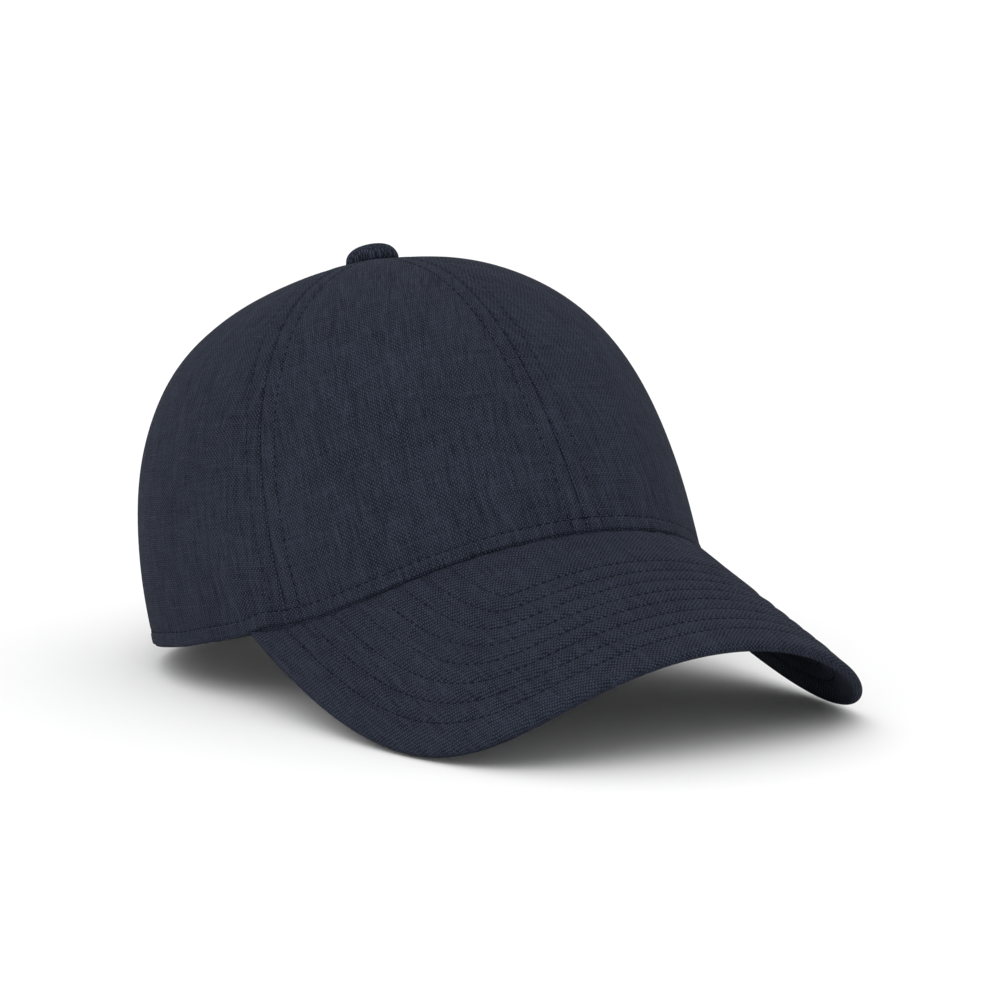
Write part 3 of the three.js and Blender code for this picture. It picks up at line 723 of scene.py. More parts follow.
def thread_material():
    """Spun thread: slanted plies along the stitch's own UV, with painted shade in the grooves between plies. Its
    colours are a little lighter than the cloth's depths and far darker than the cloth's tops, which is painted
    shade of thread sunk in its stitch holes.
    """

    def plies(tree):
        parts = tree.nodes.new("ShaderNodeSeparateXYZ")
        tree.links.new(weave_map(tree), parts.inputs[0])
        slant = sums(tree, "ADD", parts.outputs[0], parts.outputs[1])
        turns = sums(tree, "MULTIPLY", slant, THREAD_TWISTS_PER_METRE * 2 * math.pi)
        # Painted shade: the colour follows the ply's sine, darker in the grooves between plies.
        ply = sums(tree, "MULTIPLY_ADD", sums(tree, "SINE", turns), 0.5, 0.5)
        return ply, ply

    # Both colours are painted darker than the navy thread is, as shade of stitches sunk in their holes.
    return cloth_material(
        "thread_with_painted_shade", plies, (0.0012, 0.0015, 0.0024), (0.009, 0.011, 0.017), 0.00005
    )


thread_with_painted_shade = thread_material()
print("cloth materials made:", len(bpy.data.materials))

# %% [markdown]
# ## One stitch, modelled once
# A lockstitch shows as a short length of thread that dives into the cloth at both ends. It could be
# a curve with a bevel, but thousands of curves are slow, so one stitch is modelled as a six-sided
# cylinder, cut into rings, then thinned and bent down at its ends. Every row of sewing lays copies
# of it end to end, and the copies of one row make one mesh. It has few faces because there are
# thousands of them.

# %% The stitch
STITCH = {"radius": 0.24, "length": 2.35, "pitch": 2.9, "dive": 0.34}


def deselect_all():
    bpy.ops.object.select_all(action="DESELECT")


def model_stitch():
    """Points and faces of one stitch along X, with the cloth's outside at +Z, in millimetres."""
    deselect_all()
    bpy.ops.mesh.primitive_cylinder_add(
        vertices=6, radius=STITCH["radius"], depth=STITCH["length"], end_fill_type="NOTHING",
        rotation=(0, math.pi / 2, 0),
    )
    stitch = bpy.context.active_object
    bpy.ops.object.transform_apply(location=True, rotation=True, scale=True)
    bpy.ops.object.mode_set(mode="EDIT")
    bpy.ops.mesh.select_all(action="SELECT")
    cuts = bmesh.from_edit_mesh(stitch.data)
    long_edges = [e for e in cuts.edges if abs(e.verts[0].co.x - e.verts[1].co.x) > STITCH["radius"]]
    bmesh.ops.subdivide_edges(cuts, edges=long_edges, cuts=4, use_grid_fill=True)
    bmesh.ops.holes_fill(cuts, edges=cuts.edges)
    bmesh.ops.recalc_face_normals(cuts, faces=cuts.faces)
    bmesh.ops.triangulate(cuts, faces=[f for f in cuts.faces if len(f.verts) > 4])
    bmesh.update_edit_mesh(stitch.data)
    bpy.ops.object.mode_set(mode="OBJECT")
    points = np.array([v.co for v in stitch.data.vertices])
    share = np.abs(points[:, 0]) / (STITCH["length"] / 2)
    points[:, 1:] *= (1 - 0.45 * share**3)[:, None]
    points[:, 2] -= STITCH["dive"] * share**2.6
    faces = [list(p.vertices) for p in stitch.data.polygons]
    bpy.data.objects.remove(stitch)
    quads = np.array([f if len(f) == 4 else f + f[-1:] for f in faces])
    return points, quads


STITCH_POINTS, STITCH_FACES = model_stitch()
print("one stitch:", len(STITCH_POINTS), "points,", len(STITCH_FACES), "faces")


# %% Laying a row of stitches
def resample(path, normals, pitch):
    """Evenly spaced places along a path, with the direction and the outward normal at each."""
    steps = np.linalg.norm(np.diff(path, axis=0), axis=1)
    along = np.concatenate([[0], np.cumsum(steps)])
    count = max(1, int(along[-1] // pitch))
    places = (np.arange(count) + 0.5) * along[-1] / count
    centre = np.stack([np.interp(places, along, path[:, i]) for i in range(3)], 1)
    ahead = np.stack([np.interp(places + 0.4, along, path[:, i]) for i in range(3)], 1)
    behind = np.stack([np.interp(places - 0.4, along, path[:, i]) for i in range(3)], 1)
    normal = np.stack([np.interp(places, along, normals[:, i]) for i in range(3)], 1)
    return centre, ahead - behind, normal


def stitch_rows(name, rows, sink=0.05, pitch=STITCH["pitch"], material=None):
    """rows is a list of (path, normals) in drafting millimetres; sink is how deep the thread lies."""
    points, faces, flats = [], [], []
    for path, normals in rows:
        centre, forward, normal = resample(np.asarray(path), np.asarray(normals), pitch)
        forward = forward / np.linalg.norm(forward, axis=1, keepdims=True)
        side = np.cross(normal, forward)
        side = side / np.linalg.norm(side, axis=1, keepdims=True)
        up = np.cross(forward, side)
        for place, x, y, z in zip(centre, forward, side, up):
            local = STITCH_POINTS[:, :1] * x + STITCH_POINTS[:, 1:2] * y
            local = local + (STITCH_POINTS[:, 2:] - sink) * z
            faces.append(STITCH_FACES + len(points) * len(STITCH_POINTS))
            points.append(place + local)
            flats.append(STITCH_POINTS[:, :2])
    all_points, all_flats = np.concatenate(points), np.concatenate(flats)
    return stitched_mesh(
        name, all_points, np.concatenate(faces), all_flats, material or thread_with_painted_shade
    )


def stitched_mesh(name, points, faces, flats, material):
    """Triangles were stored with a repeated corner, so they're made plain again here."""
    mesh = bpy.data.meshes.new(name)
    plain = [f[:3] if f[2] == f[3] else f for f in faces.tolist()]
    mesh.from_pydata(on_table(points), [], plain)
    mesh.polygons.foreach_set("use_smooth", np.ones(len(mesh.polygons), bool))
    corner = np.zeros(len(mesh.loops), np.int32)
    mesh.loops.foreach_get("vertex_index", corner)
    layer = mesh.uv_layers.new(name="weave")
    layer.data.foreach_set("uv", (flats[corner] / 1000).astype(np.float32).ravel())
    mesh.materials.append(material)
    mesh.update()
    piece = bpy.data.objects.new(name, mesh)
    scene.collection.objects.link(piece)
    return piece


# %% [markdown]
# ## The crown's panels
# Six gores meet at the apex. Each is one sheet whose two long edges turn down into the seams. The
# seam allowance, pressed open underneath, lifts a band on each side of a seam, and the top
# stitching holds it down in a narrow furrow. Columns of the grid crowd towards the seams and rows
# crowd towards the hem, so that the small shapes are drawn where they're needed.

# %% Spacing of the grid
SEAM_STITCH = 5.5  # top stitching, from the seam
HEM_STITCH = 4.5  # from the lower edge
SEAM_MARGIN = 0.05
EDGE_STEPS = [0, 0.1, 0.22, 0.4, 0.65, 1.0, 1.5, 2.2, 3.0, 3.9, 4.7, 5.1, 5.5, 5.9, 6.3, 7.1, 8.3]
FULL_EDGE_WIDTH = 24.0  # a panel narrower than this has its seam bands squeezed to match
EVEN_ROWS = 155
MIDDLE_COLUMNS = 34


def edge_squeeze(width):
    return np.minimum(1.0, width / FULL_EDGE_WIDTH)


def column_places(width):
    """Distances from a panel's left edge for each column, one row of them for each width given."""
    squeeze = edge_squeeze(width)[:, None]
    left = np.array(EDGE_STEPS)[None] * squeeze
    right = width[:, None] - left[:, ::-1]
    t = np.linspace(0, 1, MIDDLE_COLUMNS + 2)[1:-1][None]
    return np.concatenate([left, mix(left[:, -1:], right[:, :1], t), right], axis=1)


# %% The hem line
HEM_STEPS = [0, 0.1, 0.22, 0.4, 0.65, 1.0, 1.5, 2.1, 2.8, 3.5, 4.0, 4.3, 4.5, 4.7, 5.0, 5.6, 6.4]
UNDER_HEM = [0.0, 0.35, 0.7]  # shares of the strip that the visor hides
HEM_SINK = 0.62  # how far the fold settles into the visor's cloth


def above_visor(points):
    """How far points stand off the visor's middle surface, square to it."""
    x, y, z = np.moveaxis(points, -1, 0)
    return (z - visor_height(x, y)) * visor_normal(x)[..., 2]


def hem_lift(angle):
    """How far above the rim the cloth folds: on top of the visor in front, at the rim behind."""
    away = np.minimum(np.abs(angle), VISOR["end_angle"])
    tries = np.linspace(0, 12, 121)
    heights = above_visor(crown_point(away[None], tries[:, None]))
    climb = tries[np.argmax(heights > VISOR["thickness"] / 2 - HEM_SINK, axis=0)]
    near_end = smooth((VISOR["end_angle"] + 1.5 - np.abs(angle)) / 6)
    return mix(0.3, climb, near_end)


def row_places(low, high, first):
    """Distances up the cloth for each row: the fixed hem steps above low, then even steps to high."""
    hidden = [first + (low - first) * share for share in UNDER_HEM]
    hem = [low + step for step in HEM_STEPS]
    last = hem[-1]
    rest = [mix(last, high, (i + 1) / EVEN_ROWS) for i in range(EVEN_ROWS)]
    return np.stack(hidden + hem + rest)


# %% Relief of a panel
ALLOWANCE = {"rise": 0.28, "start": 0.7, "end": 5.4, "soft": 1.3}
FURROW = {"depth": 0.34, "width": 0.62}
SEAM_ROLL = 0.52
VALLEY = {"depth": 0.26, "width": 9.0}
PUFF = 0.38


def allowance_band(distance):
    rising = smooth((distance - 0.2) / ALLOWANCE["start"])
    return rising * (1 - smooth((distance - ALLOWANCE["end"] + ALLOWANCE["soft"]) / ALLOWANCE["soft"] / 2))


def pucker(along):
    return 0.82 + 0.18 * np.cos(2 * np.pi * along / STITCH["pitch"])


def seam_relief(distance, along, squeeze, stitch=SEAM_STITCH):
    distance = distance / np.maximum(squeeze, 0.2)
    raised = ALLOWANCE["rise"] * allowance_band(distance)
    sunk = FURROW["depth"] * furrow(distance, stitch, FURROW["width"]) * pucker(along)
    valley = VALLEY["depth"] * furrow(distance, 0, VALLEY["width"])
    return (raised - sunk - valley) * squeeze


def hem_relief(distance, along):
    raised = ALLOWANCE["rise"] * allowance_band(distance * SEAM_STITCH / HEM_STITCH)
    sunk = FURROW["depth"] * 1.2 * furrow(distance, HEM_STITCH, FURROW["width"]) * pucker(along)
    return raised - sunk


def sheet_from_grid(base, relief, roll, thickness=CLOTH_THICKNESS, inner_roll=None):
    """Outer and inner faces: relief lifts the outer face, and roll turns both towards an edge."""
    normal = grid_normals(base)
    if np.mean(np.einsum("...i,...i", normal, base - np.array([0, CROWN["apex_y"], 20]))) < 0:
        normal = -normal
    inner_roll = roll if inner_roll is None else inner_roll
    outward = relief - SEAM_ROLL * roll
    inward = -thickness + (thickness - SEAM_ROLL) * BORDER_SHARE * inner_roll
    inward = np.minimum(inward, outward - 0.03)
    return base + normal * outward[..., None], base + normal * inward[..., None], normal


def flat_pattern(base, heights, middle):
    """Each point's place on the flat cloth: across from the panel's middle line, and up."""
    across = row_distances(base)
    centre = across[np.arange(len(base)), middle][:, None]
    return np.stack([across - centre, heights], -1)


# %% Front and side panels
RAW = {}


def gore(name, left_seam, right_seam, side, node):
    """side is 1 for the wearer's right and -1 for the left, where the same gore is mirrored."""
    middle_angle = (left_seam(0.0) + right_seam(0.0)) / 2
    length = float(profile_length(middle_angle))
    rough = row_places(np.array([1.0]), np.array([length - APEX_HOLE]), np.array([0.0]))[:, 0]
    share = rough / length
    low_angle = np.array([left_seam(s) for s in share])
    high_angle = np.array([right_seam(s) for s in share])
    fan = np.linspace(0, 1, 25)[None]
    fan_angle = mix(low_angle[:, None], high_angle[:, None], fan)
    fan_points = crown_point(fan_angle, share[:, None] * profile_length(fan_angle))
    fan_across = row_distances(fan_points)
    width = fan_across[:, -1] - 2 * SEAM_MARGIN
    wanted = column_places(width) + SEAM_MARGIN
    angle = np.stack([np.interp(w, a, g) for w, a, g in zip(wanted, fan_across, fan_angle)])
    lift = hem_lift(angle[0])
    full = profile_length(angle[0])
    distance = row_places(lift, full - APEX_HOLE, np.zeros_like(lift))
    distance = distance * profile_length(angle) / full
    base = crown_point(angle * side, distance)
    return finish_gore(name, base, distance, lift, width, node)


def finish_gore(name, base, distance, lift, width, node):
    across = row_distances(base)
    from_left, from_right = across, across[:, -1:] - across
    squeeze = edge_squeeze(width)[:, None]
    hem = distance - lift[None]
    relief = PUFF * np.sin(np.pi * across / across[:, -1:]) * squeeze
    for inward in (from_left, from_right):
        relief = relief + seam_relief(inward, distance, squeeze)
    relief = relief + hem_relief(hem, across) * smooth(hem + 1) + 0.3 * loose_waves(base) * squeeze
    relief = relief * np.where(hem < 0, 0, 1)
    seam_roll = np.maximum(turned(from_left), turned(from_right))
    roll = np.maximum(seam_roll, turned(np.maximum(hem, 0)))
    inner_roll = np.maximum(seam_roll, turned(distance))
    outer, inner, normal = sheet_from_grid(base, relief, roll, inner_roll=inner_roll)
    flat = flat_pattern(base, distance, base.shape[1] // 2)
    piece = cloth_object(name, outer, inner, flat, crown_cloth)
    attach(piece, "cap")
    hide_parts(node)
    RAW[name] = {"outer": outer, "normal": normal, "squeeze": squeeze[:, 0], "hem": hem}
    return piece


def centre_front(share):
    return 0.0 * share


def back_seam(share):
    return BACK_SEAM_ANGLE + 0.0 * share


panels = {}
for side, hand in ((1, "right"), (-1, "left")):
    panels[f"front_{hand}"] = gore(
        f"front_panel_{hand}", centre_front, side_seam, side, f"crown_front_{hand}"
    )
    panels[f"side_{hand}"] = gore(
        f"side_panel_{hand}", side_seam, back_seam, side, f"crown_side_{hand}"
    )
print("gores:", {name: len(piece.data.polygons) for name, piece in panels.items()})


# %% [markdown]
# ## The two back panels
# The back panels are gores too, but their lower edge climbs over the half-oval opening. The grid's
# rows start on that edge, so it can be turned like a hem. Columns crowd towards the foot of the
# arch, where the edge stands upright.

# %% Grid of a back panel
FOOT_STEPS = [3, 2, 1.2, 0.7, 0.35, 0.15, 0]  # degrees short of the arch's foot
ARCH_COLUMNS = 40
ARCH_SPREAD = math.radians(80)
SIDE_COLUMNS = 12
ARCH_FOOT = 180 - ARCH["half_angle"]
FOOT_LIFT = 0.3  # how far the hem starts up the cloth beside the arch, in millimetres
FAR = 1e3  # farther than any point of the cap


def arch_start(angle):
    away = np.clip((180 - np.abs(angle)) / ARCH["half_angle"], 0, 1)
    return ARCH["height"] * np.sqrt(1 - away**2)


def arch_distance(angle, distance):
    """Roughly how far a point of the cloth is outside the arch, in millimetres."""
    across = (180 - np.abs(angle)) * ARCH["half_width"] / ARCH["half_angle"]
    a, b = ARCH["half_width"], ARCH["height"]
    level = np.sqrt((across / a) ** 2 + (distance / b) ** 2)
    steepness = np.hypot(across / a**2, distance / b**2) / np.maximum(level, 1e-6)
    return (level - 1) / np.maximum(steepness, 1e-6)


def back_columns(radius):
    """Angles of every column, one row of them for each apex radius given."""
    fan = math.radians(180 - BACK_SEAM_ANGLE)
    squeeze = edge_squeeze(radius * fan)
    edge = np.degrees(np.array(EDGE_STEPS)[None] * squeeze[:, None] / radius[:, None])
    left = BACK_SEAM_ANGLE + edge
    right = 180 - edge[:, ::-1]
    foot = ARCH_FOOT - np.array(FOOT_STEPS)[None] + 0 * left[:, :1]
    t = np.linspace(0, 1, SIDE_COLUMNS + 2)[1:-1][None]
    beside = mix(left[:, -1:], foot[:, :1], t)
    sweep = np.linspace(0, ARCH_SPREAD, ARCH_COLUMNS + 2)[1:-1]
    spread = (1 - np.cos(sweep)) / (1 - math.cos(ARCH_SPREAD))
    over = mix(float(ARCH_FOOT), right[:, :1], spread[None])
    return np.concatenate([left, beside, foot, over, right], axis=1)


def back_panel(name, side, node):
    middle = (BACK_SEAM_ANGLE + 180) / 2
    length = float(profile_length(middle))
    rough = row_places(np.array([0.3]), np.array([length - APEX_HOLE]), np.array([0.0]))[:, 0]
    angle = back_columns(apex_radius(np.full_like(rough, middle), rough))
    full = profile_length(angle)
    start = arch_start(angle)
    hem_rows = (np.arange(len(rough)) < len(UNDER_HEM) + len(HEM_STEPS))[:, None]
    last = rough[len(UNDER_HEM) + len(HEM_STEPS) - 1]
    climb = (rough[:, None] - last) / (length - APEX_HOLE - last)
    climbing = mix(start + last, full - APEX_HOLE, climb)
    distance = np.where(hem_rows, start + rough[:, None], climbing)
    base = crown_point(angle * side, distance)
    across = row_distances(base)
    from_left, from_right = across, across[:, -1:] - across
    squeeze = edge_squeeze(across[:, -1])[:, None]
    beyond = np.where(angle < ARCH_FOOT, distance - FOOT_LIFT, FAR)
    arch = arch_distance(angle, distance)
    edge = np.maximum(np.minimum(beyond, arch), 0)
    relief = PUFF * np.sin(np.pi * across / across[:, -1:]) * squeeze
    for inward in (from_left, from_right):
        relief = relief + seam_relief(inward, distance, squeeze)
    relief = relief + hem_relief(edge, across + distance) + 0.3 * loose_waves(base) * squeeze
    seam_roll = np.maximum(turned(from_left), turned(from_right))
    roll = np.maximum(seam_roll, turned(edge))
    inner_roll = np.maximum(seam_roll, turned(np.maximum(np.minimum(beyond + FOOT_LIFT, arch), 0)))
    outer, inner, normal = sheet_from_grid(base, relief, roll, inner_roll=inner_roll)
    flat = flat_pattern(base, distance, base.shape[1] // 2)
    piece = cloth_object(name, outer, inner, flat, crown_cloth)
    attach(piece, "cap")
    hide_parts(node)
    RAW[name] = {"outer": outer, "normal": normal, "squeeze": squeeze[:, 0], "edge": edge}
    return piece


for side, hand in ((1, "right"), (-1, "left")):
    panels[f"back_{hand}"] = back_panel(f"back_panel_{hand}", side, f"crown_back_{hand}")
print("back panels:", len(panels["back_right"].data.polygons), "faces each")

# %% [markdown]
# ## Top stitching on the crown
# Each seam has a row of stitches on both sides, and one row follows the hem. A row's path is a
# column of the panel's own grid, the one that lies in the furrow, so thread and furrow agree. The
# hem's row is found as the line where the distance above the hem has one value.

# %% Rows of crown stitching
STITCH_COLUMN = EDGE_STEPS.index(5.5)
TOP_ROW_MARGIN = 9  # rows near the apex that the button hides


def column_path(name, column):
    grid = RAW[name]
    low = len(UNDER_HEM) + 6
    rows = slice(low, -TOP_ROW_MARGIN)
    return grid["outer"][rows, column], grid["normal"][rows, column]


def contour(field, level, points, normals):
    """The line across a grid where a field that grows with the row reaches level."""
    path, ups = [], []
    for column in range(field.shape[1]):
        values = field[:, column]
        row = int(np.argmax(values >= level))
        if row == 0 or values[row] < level:
            continue
        t = (level - values[row - 1]) / max(values[row] - values[row - 1], 1e-9)
        path.append(mix(points[row - 1, column], points[row, column], t))
        ups.append(mix(normals[row - 1, column], normals[row, column], t))
    return np.array(path), np.array(ups)


def stitch_count(*sewn):
    """How many stitches these meshes hold together."""
    return sum(len(rows.data.polygons) for rows in sewn) // len(STITCH_FACES)


seam_rows, hem_rows = [], []
for name, grid in RAW.items():
    seam_rows += [column_path(name, STITCH_COLUMN), column_path(name, -1 - STITCH_COLUMN)]
    field = grid.get("hem", grid.get("edge"))
    hem_rows.append(contour(field, HEM_STITCH, grid["outer"], grid["normal"]))

seam_stitching = stitch_rows("crown_top_stitching", seam_rows)
hem_stitching = stitch_rows("crown_hem_stitching", hem_rows)
for piece in (seam_stitching, hem_stitching):
    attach(piece, "cap")
print("crown stitches:", stitch_count(seam_stitching, hem_stitching))

# %% [markdown]
# ## The visor's covers
# A stiff board is sewn into a cloth case. The upper and the lower cover meet in a seam all along the
# rounded edge, and eight rows of stitches, each parallel to that edge, quilt the cloth to the board.
# A row's distance is measured to the nearest point of the edge, as a sewer's guide does it.

# %% Plan of the visor
VISOR_COLUMNS = 250
VISOR_EDGE_STEPS = [0, 0.05, 0.14, 0.3, 0.5, 0.75, 1.05, 1.4, 1.75, 2.2, 2.8]
VISOR_ROWS = 108
VISOR_REACH = 0.996
COVER_THICKNESS = 0.8
QUILTING = {"first": 10.0, "step": 6.5, "rows": 8, "depth": 0.42, "width": 0.55, "puff": 0.34}
HALF = VISOR["thickness"] / 2


def visor_outline(t):
    """Half of the visor's edge in plan, from the middle of its front to its end at the crown."""
    end_x, end_y = (float(v) for v in rim_plan(VISOR["end_angle"]))
    splay = math.radians(VISOR["side_splay"])
    front = -RIM["front"] - VISOR["length"]
    handles = (
        np.array([0.0, front]),
        np.array([-VISOR["front_handle"], front]),
        np.array(
            [
                end_x - VISOR["side_handle"] * math.sin(splay),
                end_y - VISOR["side_handle"] * math.cos(splay),
            ]
        ),
        np.array([end_x, end_y]),
    )
    return cubic(handles, t)


def visor_lines(across):
    """Both ends, in plan, of the line that runs from the crown to the visor's edge."""
    away = np.abs(across)
    edge = visor_outline(away)
    inner = np.stack(rim_plan(away * VISOR["end_angle"]), -1)
    flip = np.stack([np.where(across < 0, -1.0, 1.0), np.ones_like(across)], -1)
    return inner * flip, edge * flip


def raise_to_visor(plan, offset):
    x, y = plan[..., 0], plan[..., 1]
    middle = np.stack([x, y, visor_height(x, y)], -1)
    return middle + visor_normal(x) * np.asarray(offset)[..., None]


def visor_edge_points(count=900):
    t = np.linspace(-1, 1, count)
    _, edge = visor_lines(t)
    return raise_to_visor(edge, np.zeros(count))


def distance_to_edge(points):
    edge = visor_edge_points()
    ahead = np.gradient(edge, axis=0)
    ahead = ahead / np.linalg.norm(ahead, axis=1, keepdims=True)
    result = np.empty(points.shape[:-1])
    for row in range(len(points)):
        gaps = points[row][:, None] - edge[None]
        nearest = (gaps**2).sum(-1).argmin(axis=1)
        gap = gaps[np.arange(len(nearest)), nearest]
        along = (gap * ahead[nearest]).sum(-1, keepdims=True) * ahead[nearest]
        result[row] = np.linalg.norm(gap - along, axis=-1)
    result[0] = 0
    return result


def visor_places(crown_gap):
    """Plan positions of the grid: rows run from the edge towards the crown."""
    across = np.linspace(-VISOR_REACH, VISOR_REACH, VISOR_COLUMNS)
    inner, edge = visor_lines(across)
    span = inner - edge
    length = np.linalg.norm(span, axis=-1)
    direction = span / length[:, None]
    reach = length - crown_gap
    squeeze = np.minimum(1, reach / 14)
    steps = [step * squeeze for step in VISOR_EDGE_STEPS]
    steps += [mix(steps[-1], reach, (i + 1) / VISOR_ROWS) for i in range(VISOR_ROWS)]
    inward = np.stack(steps)
    return edge, direction, inward, reach


# %% A visor cover
def quilted(distance, along):
    sunk = 0
    for row in range(QUILTING["rows"]):
        place = QUILTING["first"] + row * QUILTING["step"]
        sunk = sunk + furrow(distance, place, QUILTING["width"])
    phase = (distance - QUILTING["first"]) / QUILTING["step"]
    full = smooth((distance - 6) / 4)
    puff = QUILTING["puff"] * 0.5 * (1 - np.cos(2 * np.pi * phase)) * full
    return puff - QUILTING["depth"] * sunk * pucker(along)


def round_edge(distance, half):
    return half * np.sqrt(1 - np.clip(1 - distance / half, 0, 1) ** 2)


X_STEPS = np.linspace(-90, 90, 721)
X_SLOPES = np.gradient(visor_height(X_STEPS, 0 * X_STEPS), X_STEPS)
X_PIECES = np.hypot(1, (X_SLOPES[1:] + X_SLOPES[:-1]) / 2) * np.diff(X_STEPS)
X_LENGTHS = np.concatenate([[0], np.cumsum(X_PIECES)])


def edge_shift(distance):
    """How much further out the cloth's own measure runs than the plan does, round the edge."""
    d = np.clip(distance, 0, HALF)
    return d - HALF + HALF * (np.pi / 2 - np.arccos(1 - d / HALF))


def visor_pattern(plan):
    across = np.interp(plan[..., 0], X_STEPS, X_LENGTHS) - X_LENGTHS[-1] / 2
    return np.stack([across, -plan[..., 1] / math.cos(math.radians(VISOR["pitch"]))], -1)


def visor_cover(name, side, crown_gap, node):
    """side is 1 for the upper cover and -1 for the lower one."""
    edge, direction, inward, reach = visor_places(crown_gap)
    plan = edge[None] + direction[None] * inward[..., None]
    middle = raise_to_visor(plan, np.zeros(plan.shape[:-1]))
    from_edge = distance_to_edge(middle)
    along = row_distances(middle)
    lift = round_edge(from_edge, HALF)
    relief = quilted(from_edge, along) * smooth(from_edge / 4)
    to_crown = (reach[None] - inward) + max(crown_gap, 0)
    relief = relief - 0.6 * turned(np.maximum(to_crown - 0.4, 0), 1.8) * (side > 0)
    outer = raise_to_visor(plan, side * (lift + relief))
    inset = 0.75 * (1 - smooth(inward / 3.5))
    inner_plan = edge[None] + direction[None] * (inward + inset)[..., None]
    inner_lift = round_edge(from_edge, HALF - COVER_THICKNESS)
    inner = raise_to_visor(inner_plan, side * (inner_lift * 0.98 + 0.02))
    normal = visor_normal(plan[..., 0]) * side
    laid = plan - direction[None] * edge_shift(from_edge)[..., None]
    piece = cloth_object(name, outer, inner, visor_pattern(laid), visor_cloth)
    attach(piece, "cap")
    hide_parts(node)
    RAW_VISOR[name] = {"outer": outer, "normal": normal, "distance": from_edge}
    return piece


RAW_VISOR = {}
visor_top = visor_cover("visor_upper_cover", 1, -0.7, "visor_top_cover")
visor_under = visor_cover("visor_lower_cover", -1, -2.0, "visor_under_cover")


def visor_rows(name):
    grid = RAW_VISOR[name]
    levels = [QUILTING["first"] + row * QUILTING["step"] for row in range(QUILTING["rows"])]
    rows = [contour(grid["distance"], level, grid["outer"], grid["normal"]) for level in levels]
    return [row for row in rows if len(row[0]) > 3]


VISOR_PITCH = 2.5
upper_quilting = stitch_rows(
    "visor_upper_stitching", visor_rows("visor_upper_cover"), 0.02, VISOR_PITCH
)
lower_quilting = stitch_rows(
    "visor_lower_stitching", visor_rows("visor_lower_cover"), 0.02, VISOR_PITCH
)
for piece in (upper_quilting, lower_quilting):
    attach(piece, "cap")
print("visor covers:", len(visor_top.data.polygons), "faces each")
print("stitches in the upper cover:", stitch_count(upper_quilting))

# %% [markdown]
# ## The button
# The button at the apex is a small tin cap with the crown's cloth pulled over it and tucked under.
# Its outline is drawn as half a profile and spun into a dome, as a lathe would turn it. Spinning can
# leave doubled points on the axis and inward faces, so both are put right before the cloth's small
# gathers are pressed into the skirt.

# %% Button cover
BUTTON = {"radius": 8.6, "height": 5.0, "lean": math.radians(-3), "seat": 0.4, "power": 0.7}
BUTTON_GATHERS = {"count": 22, "depth": 0.16}
BUTTON_SPIN = 88
TUCK = {"low": -1.35, "rise": 0.9, "radius": 5.6}
TUCK_EDGE = [(8.5, -0.7), (8.2, TUCK["low"]), (7.5, -1.2)]  # radius and height of the turned rim


def button_profile():
    turns = np.linspace(math.pi / 2, 0, 22)
    dome = [
        (BUTTON["radius"] * math.cos(a) ** BUTTON["power"], BUTTON["height"] * math.sin(a))
        for a in turns
    ]
    dome[0] = (0.0, BUTTON["height"])
    return dome + [*TUCK_EDGE, (TUCK["radius"], TUCK["rise"]), (0.0, TUCK["rise"] + 0.4)]


def seat_on_apex(points):
    """From the button's own upright place to the drafting frame."""
    x, y, z = np.moveaxis(np.asarray(points, float), -1, 0)
    c, s = math.cos(BUTTON["lean"]), math.sin(BUTTON["lean"])
    back = y * c - z * s + CROWN["apex_y"]
    up = y * s + z * c + CROWN["height"] + BUTTON["seat"]
    return np.stack([x, back, up], -1)


def spun(name, profile, steps):
    """A closed solid of revolution about Z, in millimetres, made with the spin operator."""
    deselect_all()
    mesh = bpy.data.meshes.new(name)
    mesh.from_pydata(
        [(r, 0, z) for r, z in profile], [(i, i + 1) for i in range(len(profile) - 1)], []
    )
    piece = bpy.data.objects.new(name, mesh)
    scene.collection.objects.link(piece)
    bpy.context.view_layer.objects.active = piece
    piece.select_set(True)
    bpy.ops.object.mode_set(mode="EDIT")
    bpy.ops.mesh.select_all(action="SELECT")
    bpy.ops.mesh.spin(steps=steps, angle=2 * math.pi, center=(0, 0, 0), axis=(0, 0, 1))
    bpy.ops.mesh.select_all(action="SELECT")
    bpy.ops.mesh.remove_doubles(threshold=1e-4)
    bpy.ops.mesh.normals_make_consistent(inside=False)
    bpy.ops.object.mode_set(mode="OBJECT")
    return piece


def set_points(piece, points):
    piece.data.vertices.foreach_set("co", np.asarray(points, np.float32).ravel())
    piece.data.update()


def get_points(piece):
    points = np.zeros(len(piece.data.vertices) * 3, np.float32)
    piece.data.vertices.foreach_get("co", points)
    return points.reshape(-1, 3).astype(float)


def flat_uv(piece, flat):
    corner = np.zeros(len(piece.data.loops), np.int32)
    piece.data.loops.foreach_get("vertex_index", corner)
    layer = piece.data.uv_layers.new(name="weave")
    layer.data.foreach_set("uv", (flat[corner] / 1000).astype(np.float32).ravel())


def make_button():
    button = spun("button_cloth", button_profile(), BUTTON_SPIN)
    points = get_points(button)
    x, y, z = points.T
    turn = np.arctan2(y, x)
    skirt = smooth((np.hypot(x, y) - 6.2) / 1.6) * smooth((z + 0.4) / 1.5)
    gather = 1 - BUTTON_GATHERS["depth"] / BUTTON["radius"] * skirt * (
        0.5 - 0.5 * np.cos(BUTTON_GATHERS["count"] * turn + 1.4 * np.sin(3 * turn))
    )
    shaped = np.stack([x * gather, y * gather, z + 0.12 * np.sin(2 * turn + 0.6) * skirt], -1)
    flat_uv(button, shaped[:, :2] + np.array([31.0, 17.0]))
    set_points(button, on_table(seat_on_apex(shaped)))
    button.data.materials.append(crown_cloth)
    button.data.polygons.foreach_set("use_smooth", np.ones(len(button.data.polygons), bool))
    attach(button, "cap")
    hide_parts("button_cover")
    return button


button = make_button()
print("button cover:", len(button.data.polygons), "faces")


